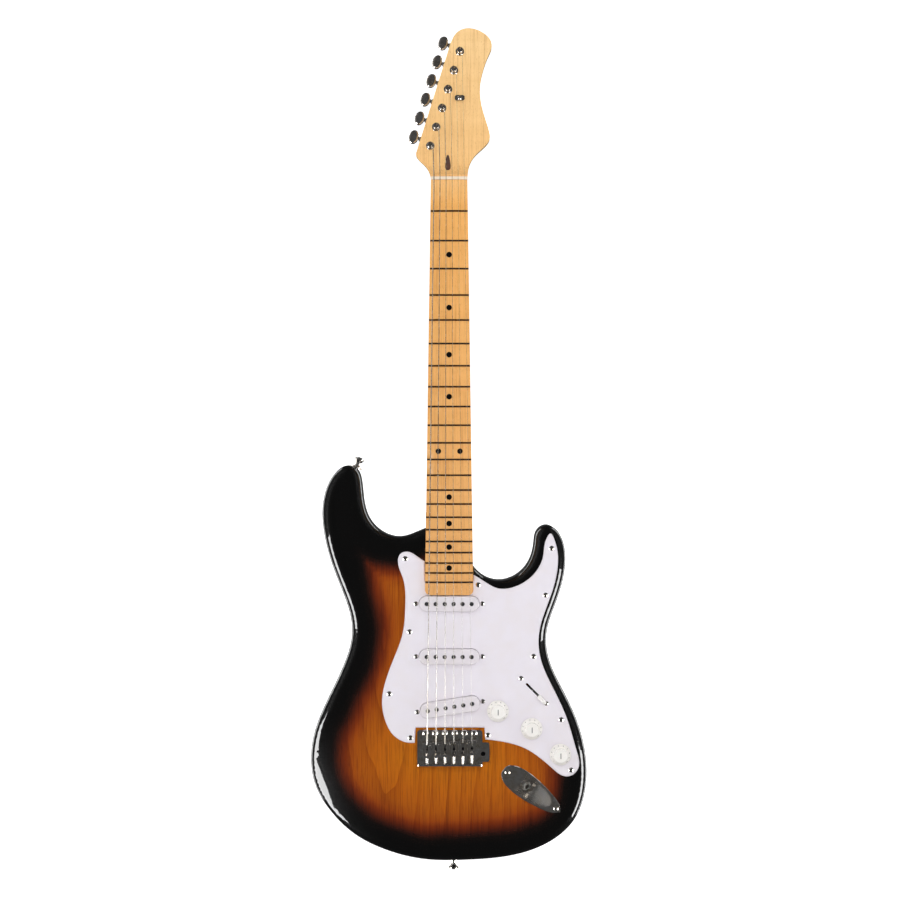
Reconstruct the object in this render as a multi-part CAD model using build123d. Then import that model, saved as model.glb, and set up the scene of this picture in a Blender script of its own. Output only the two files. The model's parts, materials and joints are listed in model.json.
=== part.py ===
from build123d import *
import math
import os

# Electric guitar, upright: +Z runs up the neck to the headstock, -Y is the front and +X is the treble side.
# The origin is the middle of the nut's front edge, on the plane that the frets stand on. Lengths are in mm.

# ---------------------------------------------------------------- driving dimensions
SCALE = 648.0                 # string length from nut to saddles
FRETS = 22
BODY_FRONT = 9.5              # depth (Y) of the body's front face behind the fret plane
BODY_THICK = 45.0
BODY_BACK = BODY_FRONT + BODY_THICK
EDGE_RADIUS = 10.0            # roundover of the body's rim
NUT_WIDTH = 42.5
HEEL_WIDTH = 56.0             # neck width at the last fret
BOARD_RADIUS = 241.0          # curve of the fretboard across the neck
NECK_BLANK = 25.4             # heel and headstock back depth
HEAD_FRONT = 11.2             # depth of the headstock's front face
HEEL_END = 184.0              # heel end above the saddle line
BOARD_END = 167.0             # fretboard end above the saddle line
POCKET_TOP = 262.0            # end of the body under the neck
STRING_SPAN_NUT = 35.0
STRING_SPAN_BRIDGE = 52.0
STRING_RADII = (0.53, 0.41, 0.31, 0.21, 0.14, 0.12)   # bass to treble
STRING_Y_NUT = -1.7           # string depth at the nut
STRING_Y_BRIDGE = -4.3        # string depth at the saddles
GUARD_THICK = 2.4
GUARD_FRONT = BODY_FRONT - GUARD_THICK
FIT = 0.05                    # gap between pieces that are held together
RUN = 0.30                    # gap around pieces that turn
TUNER_ANGLE = 17.4            # lean of the row of tuners
TUNER_PITCH = 23.0
TUNER_FIRST = (12.5, 150.5)   # post of the thinnest string
KEY_OFFSET = 6.6              # worm axis beside the post axis
KEY_DEPTH = 5.0               # worm axis behind the headstock
BRIDGE_X = 0.8                # middle of the bridge plate's screw row
PIVOT_Z = 6.9                 # pivot screws above the saddle line
PLATE_FRONT = 4.3             # depth of the bridge plate's front face
PLATE_THICK = 2.0
PLATE_BACK = PLATE_FRONT + PLATE_THICK
BLOCK_BACK = 47.0             # depth of the steel block's rear end
HOLE_Z = -11.5                # string holes below the saddle line
SCREW_Y = 0.6                 # depth of the intonation screws
SADDLE_BACK_Z = -20.0         # rear face of the middle of the saddles
SADDLE_FIRST_SHIFT = -1.6     # the thickest string's saddle stands this far back
SADDLE_STEP = 0.64            # and each next one this much nearer the nut
BLOCK_SCREW_XS = (-15.2, 5.6, 26.4)
ARM_SOCKET = (39.4, -17.3)
SPRING_XS = (BRIDGE_X - 20.8, BRIDGE_X, BRIDGE_X + 20.8)
SPRING_Y = 46.5
CLAW_Y = 46.0
CLAW_Z = 114.0
CLAW_SCREW_XS = (BRIDGE_X - 10.4, BRIDGE_X + 10.4)
POT_SEAT = BODY_FRONT + 0.1   # depth of the front of the potentiometers' cans
PICKUPS = ((0.0, 156.6, 0.0, 0.6), (0.0, 95.3, 0.0, 0.0), (1.0, 37.0, 9.2, -0.8))  # x, z, slant, top depth
KNOBS = ((56.6, 32.0), (95.8, 11.5), (129.0, -18.4))
SWITCH_CENTRE = (98.0, 55.4)
SWITCH_ANGLE = -45.0
SWITCH_PIVOT_DEPTH = 15.0     # lever axis behind the pickguard's front
SWITCH_THROW = 32.0           # lever lean at either end
JACK_SCREW = (67.8, -39.5)    # upper screw of the jack plate
JACK_SCREW_PITCH = 70.2
JACK_ANGLE = -36.8            # lean of the jack plate
JACK_WALL = (26.5, 7.25)      # middle of the wall that holds the jack: along the plate, and depth
JACK_TILT = 44.0              # jack axis above the body's face

# Front outlines, measured from the point where the centre line crosses the saddle line.
BODY_OUTLINE = (
    (-63, 234), (-80, 241), (-93, 255), (-99, 272), (-102, 297), (-108, 313), (-119, 317), (-134, 307),
    (-143, 291), (-148, 264), (-145, 233), (-137, 203), (-124, 169), (-115, 141), (-113.5, 119),
    (-122, 87), (-139, 50), (-156, 10), (-162, -27), (-156, -61), (-139, -88), (-112, -113), (-75, -131),
    (-30, -142), (20, -143), (72, -138), (117, -122), (146, -96), (159, -60), (158, -13), (144, 32),
    (126, 68), (115, 97), (114, 124), (123, 153), (133, 185), (135.5, 215), (132, 231), (124.5, 242.5),
    (113, 247.5), (102.5, 241), (99, 226), (92, 203), (75, 187), (54, 183), (37, 190), (22, 208), (6, 232),
    (-18, 245), (-42, 237.5),
)
GUARD_OUTLINE = (
    (28.4, 190), (43, 181), (56, 174.5), (72, 175), (88, 182), (101, 194), (109, 211), (113, 232),
    (117.5, 238), (123, 229), (126.5, 205), (124, 186), (113, 152), (104.5, 122), (106, 94), (120, 60),
    (138, 20), (148, -14), (150.5, -33), (144, -42), (135, -44), (120, -35), (104, -21.5), (88, -11.5),
    (66, -4.5), (42, -1.2),
)
GUARD_OUTLINE_BASS = (
    (-40, -5), (-52, -4), (-65, 4), (-74, 20), (-78, 42), (-74, 66), (-63, 96), (-54, 122), (-51, 152),
    (-54, 187), (-59.5, 206), (-57, 214), (-49, 217), (-40, 213.5), (-28.6, 206),
)
JACK_OUTLINE = ((-5.6, 0), (-4.0, 6.8), (2.5, 11.5), (16, 14.6), (38, 14.0), (57, 10.8), (71, 5.8), (76.4, 0))
SCOOP_OUTLINE = ((19.5, 11.2), (34, 11.3), (46, 10.0), (56, 6.8), (61.5, 2.5), (62.0, 0))
JACK_POCKET = ((17, -13.2), (46, -12.4), (65, -5), (65, 5), (46, 12.4), (17, 13.2))
CONTROL_OUTLINE = (
    (42.5, 12), (42.5, 52), (62, 84), (90, 88), (104, 77), (124, 48), (120, 17), (146, -4), (147, -33), (117, -33),
    (94, -8),
)
GUARD_SCREWS = (
    (-51, 209), (-46, 124), (-69.5, 52), (-45, 1), (45, 4), (141.5, -36.5), (130, 22), (98, 95.5),
    (112, 166.6), (119, 221), (33.6, 178.5),
)
HEAD_OUTLINE = (
    (3, 163.5), (7, 170.6), (12.1, 175), (20, 177.6), (31, 176.3), (41, 171.3), (48.4, 163),
    (49.6, 156), (46, 146.5), (40.5, 132), (37, 117.5), (35.9, 103), (37.6, 88), (42, 72.5), (46.4, 58),
    (47.2, 49), (40.4, 39.5), (30.4, 30), (24.5, 20.5), (22, 10), (21.3, 0),
)


# ---------------------------------------------------------------- general helpers
def front_plane(x, y, z, lean=0.0):
    """Plane that faces the front: its x runs to +X (turned up by lean degrees) and its y runs up."""
    angle = math.radians(lean)
    return Plane(origin=(x, y, z), x_dir=(math.cos(angle), 0, math.sin(angle)), z_dir=(0, -1, 0))


def back_plane(x, y, z):
    """Plane that faces the back: its x runs to -X and its y runs up."""
    return Plane(origin=(x, y, z), x_dir=(-1, 0, 0), z_dir=(0, 1, 0))


def slab(outline, back, front, x=0.0, z=-SCALE, lean=0.0):
    """Plate between two depths with a front-view outline placed at x, z."""
    return extrude(front_plane(x, back, z, lean) * outline, back - front, dir=(0, -1, 0))


def rod(x, z, back, front, radius):
    """Round rod along Y between two depths."""
    return extrude(front_plane(x, back, z) * Circle(radius), back - front)


def bar(start, end, radius):
    """Round rod between two points."""
    start = Vector(start)
    along = Vector(end) - start
    return extrude(Plane(origin=start, z_dir=along) * Circle(radius), along.length)


def block(low, high):
    """Box between two corner points."""
    size = [b - a for a, b in zip(low, high)]
    middle = [(a + b) / 2 for a, b in zip(low, high)]
    return Pos(*middle) * Box(*size)


def turned(profile):
    """Solid of revolution about local Z from (radius, height) points."""
    return revolve(Plane.XZ * make_face(Polyline(*profile, close=True)), Axis.Z)


def screw(head_radius, dome, cone, shank_radius, length):
    """Cross-head screw along local Z: the head's rim at height 0 and the point at -length."""
    edge = Polyline((0, dome), (0, -length), (shank_radius, 2.5 * shank_radius - length),
                    (shank_radius, -cone), (head_radius, 0 if cone else 0.01))
    crown = ThreePointArc(edge @ 1, (head_radius * 0.6, dome * 0.72), (0, dome))
    blank = revolve(Plane.XZ * make_face(edge + crown), Axis.Z)
    arm = Box(head_radius * 1.1, head_radius * 0.22, dome * 1.4)
    cross = Pos(0, 0, dome) * (arm + Rot(0, 0, 90) * arm)
    return blank - cross


def coil(radius, wire, length, turns):
    """Open helical spring along local Z, from height 0."""
    path = Helix(pitch=length / turns, height=length, radius=radius)
    section = Plane(origin=path @ 0, z_dir=path % 0) * Circle(wire)
    return sweep(section, path=path, is_frenet=True)


def solids(*shapes):
    """Group of separate solids that makes one node."""
    found = []
    for shape in shapes:
        found.extend(solids(*shape).solids() if isinstance(shape, (list, tuple)) else shape.solids())
    return Compound(children=found)


def fret_z(number):
    """Height of a fret: each one shortens the string by a twelfth of an octave."""
    return -SCALE * (1 - 2 ** (-number / 12))


def neck_width(z):
    """Width of the fretboard at height z."""
    return NUT_WIDTH + (HEEL_WIDTH - NUT_WIDTH) * min(1, max(0, -z / (SCALE - 175)))


def string_x(index, z):
    """X of a string at height z between nut and saddles; index 0 is the thickest."""
    share = index / 5 - 0.5
    return share * (STRING_SPAN_NUT + (STRING_SPAN_BRIDGE - STRING_SPAN_NUT) * -z / SCALE) + 0.4 * -z / SCALE


def string_y(z):
    """Depth of the strings at height z between nut and saddles."""
    return STRING_Y_NUT + (STRING_Y_BRIDGE - STRING_Y_NUT) * -z / SCALE


# ---------------------------------------------------------------- neck
def neck_section(z, width, depth, power):
    """Cross-section of the neck: flat front, short upright sides and a rounded back."""
    side = 5.5
    points = []
    for step in range(13):
        angle = math.pi * step / 12
        c, s = math.cos(angle), math.sin(angle)
        across = math.copysign(abs(c) ** (2 / power), c) * width / 2
        points.append((across, side + (depth - side) * abs(s) ** (2 / power)))
    curve = Spline(*points)
    front = Polyline(points[-1], (-width / 2, -1), (width / 2, -1), points[0])
    return Pos(0, 0, z) * make_face(curve + front)


def head_blank():
    """Headstock plate, stepped down behind the nut and blended into the round back of the neck."""
    foot = Spline((-21.3, 0), (-22.4, 7), (-27, 16), (-34.5, 23.5), (-38.2, 29))
    lean = math.radians(TUNER_ANGLE)
    corner = ThreePointArc((-38.2, 29), (-38.6, 31.5), (-37.9, 34.2))
    row = Line((-37.9, 34.2), (-37.9 + 130 * math.sin(lean), 34.2 + 130 * math.cos(lean)))
    crest = Spline(row @ 1, *HEAD_OUTLINE)
    base = Line(HEAD_OUTLINE[-1], (-21.3, 0))
    plate = slab(make_face(foot + corner + row + crest + base), NECK_BLANK, -1, z=0)
    curve = ThreePointArc((0.6, 6), (6.9, 10.6), (HEAD_FRONT, 20))
    step = make_face(Polyline((HEAD_FRONT, 20), (HEAD_FRONT, 200), (-3, 200), (-3, 6), (0.6, 6)) + curve)
    plate -= extrude(Plane.YZ * step, 80, both=True)
    blend = loft([neck_section(-0.5, NUT_WIDTH + 0.2, 20.8, 2.0), neck_section(16, 60, 23.4, 3.0),
                  neck_section(38, 120, NECK_BLANK, 9.0)])
    return plate & (blend + block((-80, -2, 38), (80, NECK_BLANK, 200)))


def heel_outline(gap=0.0, top=POCKET_TOP - SCALE):
    """Front-view outline of the heel, widened by a gap."""
    low = HEEL_END - SCALE - gap
    a = neck_width(low) / 2 + gap
    b = neck_width(top) / 2 + gap
    return make_face(Polyline((-a, low), (a, low), (b, top), (-b, top), close=True))


def neck_blank():
    """Neck, heel and headstock before the curved front is cut."""
    long_shaft = loft([neck_section(0, neck_width(0), 20.8, 2.0), neck_section(-170, neck_width(-170), 21.8, 2.0),
                       neck_section(-345, neck_width(-345), 23.0, 2.1)])
    heel_start = POCKET_TOP - SCALE + 6
    turn = loft([neck_section(-345, neck_width(-345), 23.0, 2.1),
                 neck_section(heel_start, neck_width(heel_start), NECK_BLANK - FIT, 7)], ruled=True)
    heel = slab(heel_outline(top=heel_start), NECK_BLANK - FIT, -1, z=0)
    a = neck_width(BOARD_END - SCALE) / 2
    b = neck_width(HEEL_END - SCALE) / 2
    low, high = BOARD_END - SCALE, HEEL_END + 8 - SCALE
    tongue = make_face(Polyline((-a, low), (a, low), (b, high), (-b, high), close=True))
    tongue = fillet(tongue.vertices().sort_by(Axis.Y)[:2], 6)
    overhang = slab(tongue, 6.4, -1, z=0)
    shaft = long_shaft + turn + heel + overhang
    board = block((-60, -3, -SCALE), (60, 12, 30)) - Pos(0, BOARD_RADIUS, -SCALE) * Cylinder(
        BOARD_RADIUS, 2 * SCALE, align=(Align.CENTER, Align.CENTER, Align.MIN))
    return shaft + head_blank() - board


def fret(number, gap=0.0):
    """One fret: a domed crown on the curved board and a tang in its slot."""
    half = neck_width(fret_z(number)) / 2 - 0.3
    spread = math.degrees(math.asin(half / BOARD_RADIUS))
    crown = make_face(ThreePointArc((-FIT, -1.05), (-1.15, 0), (-FIT, 1.05)) + Line((-FIT, 1.05), (-FIT, -1.05)))
    tang = Pos(0.8, 0) * Rectangle(1.8 + 2 * gap, 0.5 + 2 * gap)
    profile = tang if gap else crown + tang
    solid = revolve(Plane.YZ * profile, Axis((0, BOARD_RADIUS, 0), (0, 0, 1)), 2 * spread)
    solid = solid.rotate(Axis((0, BOARD_RADIUS, 0), (0, 0, 1)), -spread)
    return Pos(0, 0, fret_z(number)) * solid


def marker_places():
    """Front dots: one at most marked frets, two at the octave."""
    places = []
    for number in (3, 5, 7, 9, 15, 17, 19, 21):
        places.append((0.0, (fret_z(number) + fret_z(number - 1)) / 2))
    octave = (fret_z(12) + fret_z(11)) / 2
    return places + [(-12.5, octave), (12.5, octave)]


def fret_markers():
    """Round inlays, flush with the curved board, and small dots along the bass edge."""
    board = Pos(0, BOARD_RADIUS, 0) * Cylinder(BOARD_RADIUS, 2 * SCALE)
    dots = []
    for x, z in marker_places():
        dots.append(rod(x, z, 1.6, -1, 3.2) & board)
    for x, z in marker_places()[:8]:
        dots.append(side_dot(z, 0, 0.02))
    return dots


def side_dot(z, gap, proud):
    """Dot in the bass edge of the neck."""
    edge = -neck_width(z) / 2
    return bar((edge - proud, 3.6, z), (edge + 1.5 + gap, 3.6, z), 1.0 + gap)


def skunk_stripe(blank, gap=0.0):
    """Strip that closes the truss rod's channel from the back of the neck, and the plug above the nut."""
    strip = block((-3.2 - gap, 14.3, -395), (3.2 + gap, 30, -12)) & blank
    plug = bar((-1.5, 7.9, 30), (-1.5, 14.6, -5), 3.3 + gap) & blank
    return strip, plug


def truss_rod():
    """Steel rod through the neck with its adjusting nut in the heel."""
    nut = turned([(0, -1), (4.7, 0), (4.7, 11), (0, 11)]) - Box(12, 1.2, 4) - Box(1.2, 12, 4)
    shaft = bar((0, 11.6, HEEL_END - SCALE + 12.45), (0, 11.6, -14), 2.4)
    return [Pos(0, 11.6, HEEL_END - SCALE + 1.4) * nut, shaft]


def string_nut():
    """Nut with a curved top and one slot per string."""
    half = NUT_WIDTH / 2 - 0.1
    blank = block((-half, -2.6, 0.05), (half, 3.0, 3.4))
    top = Pos(0, BOARD_RADIUS - 2.35, 0) * Cylinder(BOARD_RADIUS, 20)
    blank = blank & top
    for index, radius in enumerate(STRING_RADII):
        x = string_x(index, 0)
        blank -= bar((x, string_y(0), -2), (x, string_y(0) + 0.25, 8), radius + 0.06)
        blank -= block((x - radius - 0.06, -4, -1), (x + radius + 0.06, string_y(0), 5))
    return blank


# ---------------------------------------------------------------- tuners
def tuner_post(number):
    """X and Z of a string post; number 0 is the thinnest string's."""
    lean = math.radians(TUNER_ANGLE)
    return (TUNER_FIRST[0] - number * TUNER_PITCH * math.sin(lean),
            TUNER_FIRST[1] - number * TUNER_PITCH * math.cos(lean))


def tuner_plane(number, along=0.0):
    """Plane on the headstock's back: x points to the button, y up the row and z away from the wood."""
    lean = math.radians(TUNER_ANGLE)
    x, z = tuner_post(number)
    return Plane(origin=(x + along * math.sin(lean), NECK_BLANK, z + along * math.cos(lean)),
                 x_dir=(-math.cos(lean), 0, math.sin(lean)), z_dir=(0, 1, 0))


def tuner_housing():
    """Pressed cover over the worm and gear, with a tab at each end."""
    outer = Pos(1.0, 2.1, 4.8) * Box(17, 15.4, 9.4)
    outer = fillet(outer.edges().group_by(Axis.Z)[-1], 2.6)
    tabs = Pos(-1.0, 2.1, 0.6) * Box(8, 22.0, 1.0)
    inner = Pos(1.0, 2.1, 4.4) * Box(15, 13.4, 7.4)
    shell = outer + tabs - inner
    shell -= Pos(9, KEY_OFFSET, KEY_DEPTH) * Rot(0, 90, 0) * Cylinder(2.0 + RUN, 6)
    shell -= Pos(0, 0, 0) * Cylinder(3.175 + RUN, 3)
    for y in (-TUNER_PITCH / 2 + 2.1, TUNER_PITCH / 2 + 2.1):
        shell -= Pos(-1.0, y, 0) * Cylinder(2.6, 6)
    return shell


def tuner_key():
    """Worm, shaft and oval button, along local x."""
    worm = turned([(0, -5.4), (1.7, -5.4), (1.7, -4.8), (2.0, -4.5), (1.6, -4.0), (2.0, -3.5), (1.6, -3.0),
                   (2.0, -2.5), (1.6, -2.0), (2.0, -1.5), (1.6, -1.0), (2.0, -0.5), (1.6, 0), (2.0, 0.5),
                   (1.6, 1.0), (2.0, 1.5), (1.6, 2.0), (2.0, 2.5), (1.6, 3.0), (2.0, 3.5), (1.6, 4.0),
                   (2.0, 4.5), (2.0, 13.0), (3.0, 13.4), (3.0, 15.2), (2.0, 15.8), (2.0, 18.5), (0, 18.5)])
    button = extrude(Ellipse(8.3, 6.0), 7.4)
    button = Pos(22.6, 0, -3.7) * Rot(0, 0, 90) * button
    button = fillet(button.edges(), 2.6)
    return Rot(0, 90, 0) * worm + button


def tuner_gear_and_post():
    """Slotted string post with its toothed wheel, along local z."""
    top = -(NECK_BLANK + 1.2)
    post = turned([(0, 7.6), (2.6, 7.6), (2.6, 3.6), (3.175, 3.6), (3.175, -17.4), (2.5, -18.4),
                   (2.5, -22.4), (3.175, -23.4), (3.175, top + 0.5), (2.7, top), (0, top)])
    post -= Pos(0, 0, top) * Box(1.5, 10, 15)
    wheel = Pos(0, 0, KEY_DEPTH) * Cylinder(4.3, 3.0)
    for tooth in range(15):
        notch = Pos(4.5, 0, KEY_DEPTH) * Box(1.2, 0.7, 4)
        wheel -= Rot(0, 0, tooth * 24) * notch
    return post + wheel


def tuner_bushing():
    """Front ferrule pressed into the headstock round a post, along local z."""
    depth = NECK_BLANK - HEAD_FRONT
    inner = 3.175 + RUN
    return turned([(inner, -depth + 6), (4.4, -depth + 6), (4.4, -depth - FIT), (5.0, -depth - FIT),
                   (5.0, -depth - 0.8), (4.5, -depth - 1.3), (inner, -depth - 1.3)])


def string_tree():
    """Small pressed retainer that holds two strings down, with its screw and spacer."""
    x, z = 12.3, 95.5
    plane = front_plane(x, HEAD_FRONT, z)
    spacer = plane * Pos(0, 0, 2.6) * (Cylinder(2.2, 5.0) - Cylinder(1.45, 6))
    wing = Pos(0, 0, 5.9) * Box(11.5, 6.4, 1.0) - Pos(0, 0, 5.9) * Cylinder(1.45, 3)
    wing = fillet(wing.edges().filter_by(Axis.Z).group_by(Axis.X)[0]
                  + wing.edges().filter_by(Axis.Z).group_by(Axis.X)[-1], 2.4)
    fastener = Pos(0, 0, 6.45) * screw(2.6, 1.5, 0, 1.4, 15)
    return [spacer, plane * wing, plane * fastener]


# ---------------------------------------------------------------- body
def body_blank():
    """Slab with its outline, forearm bevel, rounded rim and the block behind the neck joint."""
    prism = slab(make_face(Spline(*BODY_OUTLINE, periodic=True)), BODY_BACK, BODY_FRONT)
    bevel_start = Vector(-126, 0, 62 - SCALE)
    outward = Vector(-0.93, 0, -0.367)
    plane = Plane(origin=bevel_start, x_dir=outward, z_dir=outward.cross(Vector(0, 1, 0)))
    bend, reach = 165.0, 80.0
    drop = bend - math.sqrt(bend ** 2 - reach ** 2)
    middle = (reach / 2, BODY_FRONT + bend - math.sqrt(bend ** 2 - (reach / 2) ** 2))
    edge = Polyline((0, BODY_FRONT), (-420, BODY_FRONT), (-420, BODY_BACK), (reach, BODY_BACK),
                    (reach, BODY_FRONT + drop))
    bend_arc = ThreePointArc((0, BODY_FRONT), middle, (reach, BODY_FRONT + drop))
    prism = prism & extrude(plane * make_face(edge + bend_arc), 420, both=True)
    walls = [face for face in prism.faces() if abs(face.normal_at().Y) < 0.2]
    rim = ShapeList()
    for wall in walls:
        rim.extend(e for e in wall.edges() if abs((e % 0.5).Y) < 0.7)
    return fillet(rim, EDGE_RADIUS)


def belly_cut():
    """Tilted round scoop on the back where the player's ribs rest."""
    tilt = math.radians(14)
    radius = 150
    start = Vector(-46, BODY_BACK, 128 - SCALE)
    away = Vector(-math.cos(tilt), -math.sin(tilt), -0.12)
    centre = start + Vector(0, radius, 0)
    return bar(centre - away * 60, centre + away * 160, radius)


def heel_block():
    """Body wood behind the neck joint."""
    low, high = 176, POCKET_TOP
    outline = make_face(Polyline((-27.4, low), (27.2, low), (27.0, high), (-27.2, high), close=True))
    corners = outline.vertices().group_by(Axis.Y)[-1].sort_by(Axis.X)
    outline = fillet(corners[1:], 13)
    wood = slab(outline, BODY_BACK, BODY_FRONT)
    return fillet(wood.edges().group_by(Axis.Y)[-1].filter_by(lambda e: e.center().Z > low + 2 - SCALE), 2.5)


def rounded_slot(x, z, width, height, radius, back, front, lean=0.0):
    """Pocket with rounded corners, at x and z from the saddle line."""
    return slab(RectangleRounded(width, height, radius), back, front, x, z - SCALE, lean)


def control_cavity(deep):
    """Hollow under the switch and the three knobs."""
    outline = Polygon(*CONTROL_OUTLINE, align=None)
    return slab(fillet(outline.vertices(), 6), deep, BODY_FRONT - 1)


def jack_plane():
    """Plane on the body's face at the jack plate's upper screw, with x down the plate."""
    return front_plane(JACK_SCREW[0], BODY_FRONT, JACK_SCREW[1] - SCALE, JACK_ANGLE)


def jack_socket_plane(distance=0.0):
    """Plane on the jack's mounting wall; its z is the jack's axis and points out of the guitar."""
    tilt = math.radians(JACK_TILT)
    local = Plane(origin=(JACK_WALL[0] + distance * math.cos(tilt), 0, -JACK_WALL[1] + distance * math.sin(tilt)),
                  x_dir=(0, 1, 0), z_dir=(math.cos(tilt), 0, math.sin(tilt)))
    return Plane(jack_plane().location * local.location)


def mirrored_outline(half):
    """Closed outline from its upper half, mirrored about its own x axis."""
    upper = Spline(*half)
    lower = Spline(*[(x, -y) for x, y in half])
    if half[0][1] == 0:
        return make_face(upper + lower)
    return make_face(upper + lower + Line(half[0], (half[0][0], -half[0][1])))


def jack_scoop(gap):
    """Hollow of the jack plate, grown by a gap: a steep wall for the jack and a long sloping floor."""
    middle, half_length, half_width = 41.0, 21.5, 11.3
    outline = [(middle + (x - middle) * (1 + gap / half_length), y * (1 + gap / half_width))
               for x, y in SCOOP_OUTLINE]
    front = extrude(mirrored_outline(outline), 30, both=True)
    side = Polygon((19.5, 4), (19.5, 0), (33.5, -14.5), (62, 0), (62, 4), align=None)
    if gap:
        side = offset(side, gap, kind=Kind.INTERSECTION)
    return extrude(Plane.XZ * side, 20, both=True) & front


def body_hollows():
    """Everything cut out of the body except screw holes."""
    hollows = [slab(heel_outline(gap=FIT, top=POCKET_TOP + 20 - SCALE), NECK_BLANK, BODY_FRONT - 30, z=0)]
    for x, z, slant, top in PICKUPS:
        hollows.append(rounded_slot(x, z, 92, 31, 8, BODY_FRONT + 19, BODY_FRONT - 1, slant))
    hollows.append(rounded_slot(40, 37, 30, 16, 4, BODY_FRONT + 19, BODY_FRONT - 1))
    hollows.append(rounded_slot(34, 120, 14, 80, 5, BODY_FRONT + 14, BODY_FRONT - 1))
    hollows.append(control_cavity(BODY_BACK - 10))
    hollows.append(rounded_slot(BRIDGE_X, -12.5, 71, 27, 3, BODY_BACK + 1, BODY_FRONT - 20))
    hollows.append(rounded_slot(BRIDGE_X, 50, 75, 160, 8, BODY_BACK + 1, BODY_BACK - 16))
    hollows.append(slab(Polygon(*JACK_POCKET, align=None), BODY_FRONT + 18, BODY_FRONT - 1, JACK_SCREW[0],
                        JACK_SCREW[1] - SCALE, JACK_ANGLE))
    hollows.append(bar(jack_socket_plane().origin, jack_socket_plane(-32).origin, 11.0))
    hollows.append(rounded_slot(39, -17.7, 13.5, 17.4, 5, BODY_FRONT + 17, BODY_FRONT - 1))
    hollows.append(bar(jack_socket_plane(-28).origin, (88, 36, 6 - SCALE), 4))
    hollows.append(bar((37, 19.5, 89 - SCALE), (50, 27, 54 - SCALE), 5))
    hollows.append(bar((50, BODY_BACK - 14.5, 40 - SCALE), (34, BODY_BACK - 13, 60 - SCALE), 2.5))
    return hollows


def strap_points():
    """Seat and outward direction of the two strap buttons, and their depth."""
    middle = BODY_FRONT + BODY_THICK / 2
    return (((-108.8, middle, 313.6 - SCALE), (0.36, 0, 0.93)), ((5.3, middle, -143.4 - SCALE), (0.0, 0, -1.0)))


def body():
    """Solid body with its pockets and every screw hole."""
    wood = body_blank() - belly_cut() + heel_block()
    for hollow in body_hollows():
        wood -= hollow
    holes = []
    for x, z in GUARD_SCREWS:
        holes.append(rod(x, z - SCALE, BODY_FRONT + 14, BODY_FRONT - 1, 1.5 + FIT))
    for x, z in jack_screws():
        holes.append(rod(x, z - SCALE, BODY_FRONT + 14, BODY_FRONT - 1, 1.5 + FIT))
    for x, z in cover_screws():
        holes.append(rod(x, z - SCALE, BODY_BACK + 1, BODY_BACK - 14, 1.5 + FIT))
    for x in pivot_xs():
        holes.append(rod(x, PIVOT_Z - SCALE, BODY_FRONT + 24, BODY_FRONT - 1, 1.9 + FIT))
    for x, z in neck_screw_places():
        holes.append(rod(x, z, BODY_BACK + 1, BODY_FRONT, 2.2 + FIT))
    for x in CLAW_SCREW_XS:
        holes.append(bar((x, CLAW_Y, 128 - SCALE), (x, CLAW_Y, 171 - SCALE), 2.0 + FIT))
    for seat, out in strap_points():
        start = Vector(seat)
        along = Vector(out).normalized()
        holes.append(bar(start + along * 3, start - along * 30, 1.9 + FIT))
        holes.append(bar(start + along * 20, start - along * 0.4, 9.5))
    return wood - holes


# ---------------------------------------------------------------- neck joint
def neck_screw_places():
    """X and Z of the four neck screws."""
    return [(x, z - SCALE) for x in (-19.0, 19.0) for z in (194.5, 245.5)]


def neck_plate():
    """Steel plate on the back that spreads the pull of the neck screws."""
    outline = fillet(Rectangle(51, 64).vertices(), 5.5)
    plate = extrude(back_plane(0, BODY_BACK + FIT, 220 - SCALE) * outline, 1.9)
    plate = chamfer(plate.edges().group_by(Axis.Y)[-1], 0.5)
    for x, z in neck_screw_places():
        plate -= rod(x, z, BODY_BACK + 4, BODY_BACK - 1, 2.3)
        plate -= back_plane(x, BODY_BACK + FIT, z) * turned([(0, -0.3), (2.3, -0.1), (4.6, 2.0), (0, 2.0)])
    return plate


def neck_screws():
    """Four long wood screws with oval heads."""
    one = screw(4.3, 1.1, 1.8, 2.15, 44)
    return [back_plane(x, BODY_BACK + 1.95, z) * one for x, z in neck_screw_places()]


# ---------------------------------------------------------------- pickguard and pickups
def guard_outline():
    """Pickguard outline with its neck notch and bridge cut-out."""
    treble = Spline(*GUARD_OUTLINE)
    bridge_side = Polyline(treble @ 1, (41.0, 12.6), (-39.0, 12.6), GUARD_OUTLINE_BASS[0])
    bass = Spline(*GUARD_OUTLINE_BASS)
    half = neck_width(HEEL_END - SCALE) / 2 + 0.3
    notch = Polyline(bass @ 1, (-half, HEEL_END - 0.6), (half, HEEL_END - 0.6), GUARD_OUTLINE[0])
    return make_face(treble + bridge_side + bass + notch)


def switch_point(along, across=0.0):
    """X and Z of a point in the switch's frame, which runs down to the treble side."""
    angle = math.radians(SWITCH_ANGLE)
    return (SWITCH_CENTRE[0] + along * math.cos(angle) - across * math.sin(angle),
            SWITCH_CENTRE[1] - SCALE + along * math.sin(angle) + across * math.cos(angle))


def pickup_point(index, along, across):
    """X and Z of a point in a pickup's frame; along runs to the treble side."""
    x, z, slant, _ = PICKUPS[index]
    angle = math.radians(slant)
    return (x + along * math.cos(angle) - across * math.sin(angle),
            z - SCALE + along * math.sin(angle) + across * math.cos(angle))


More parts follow.
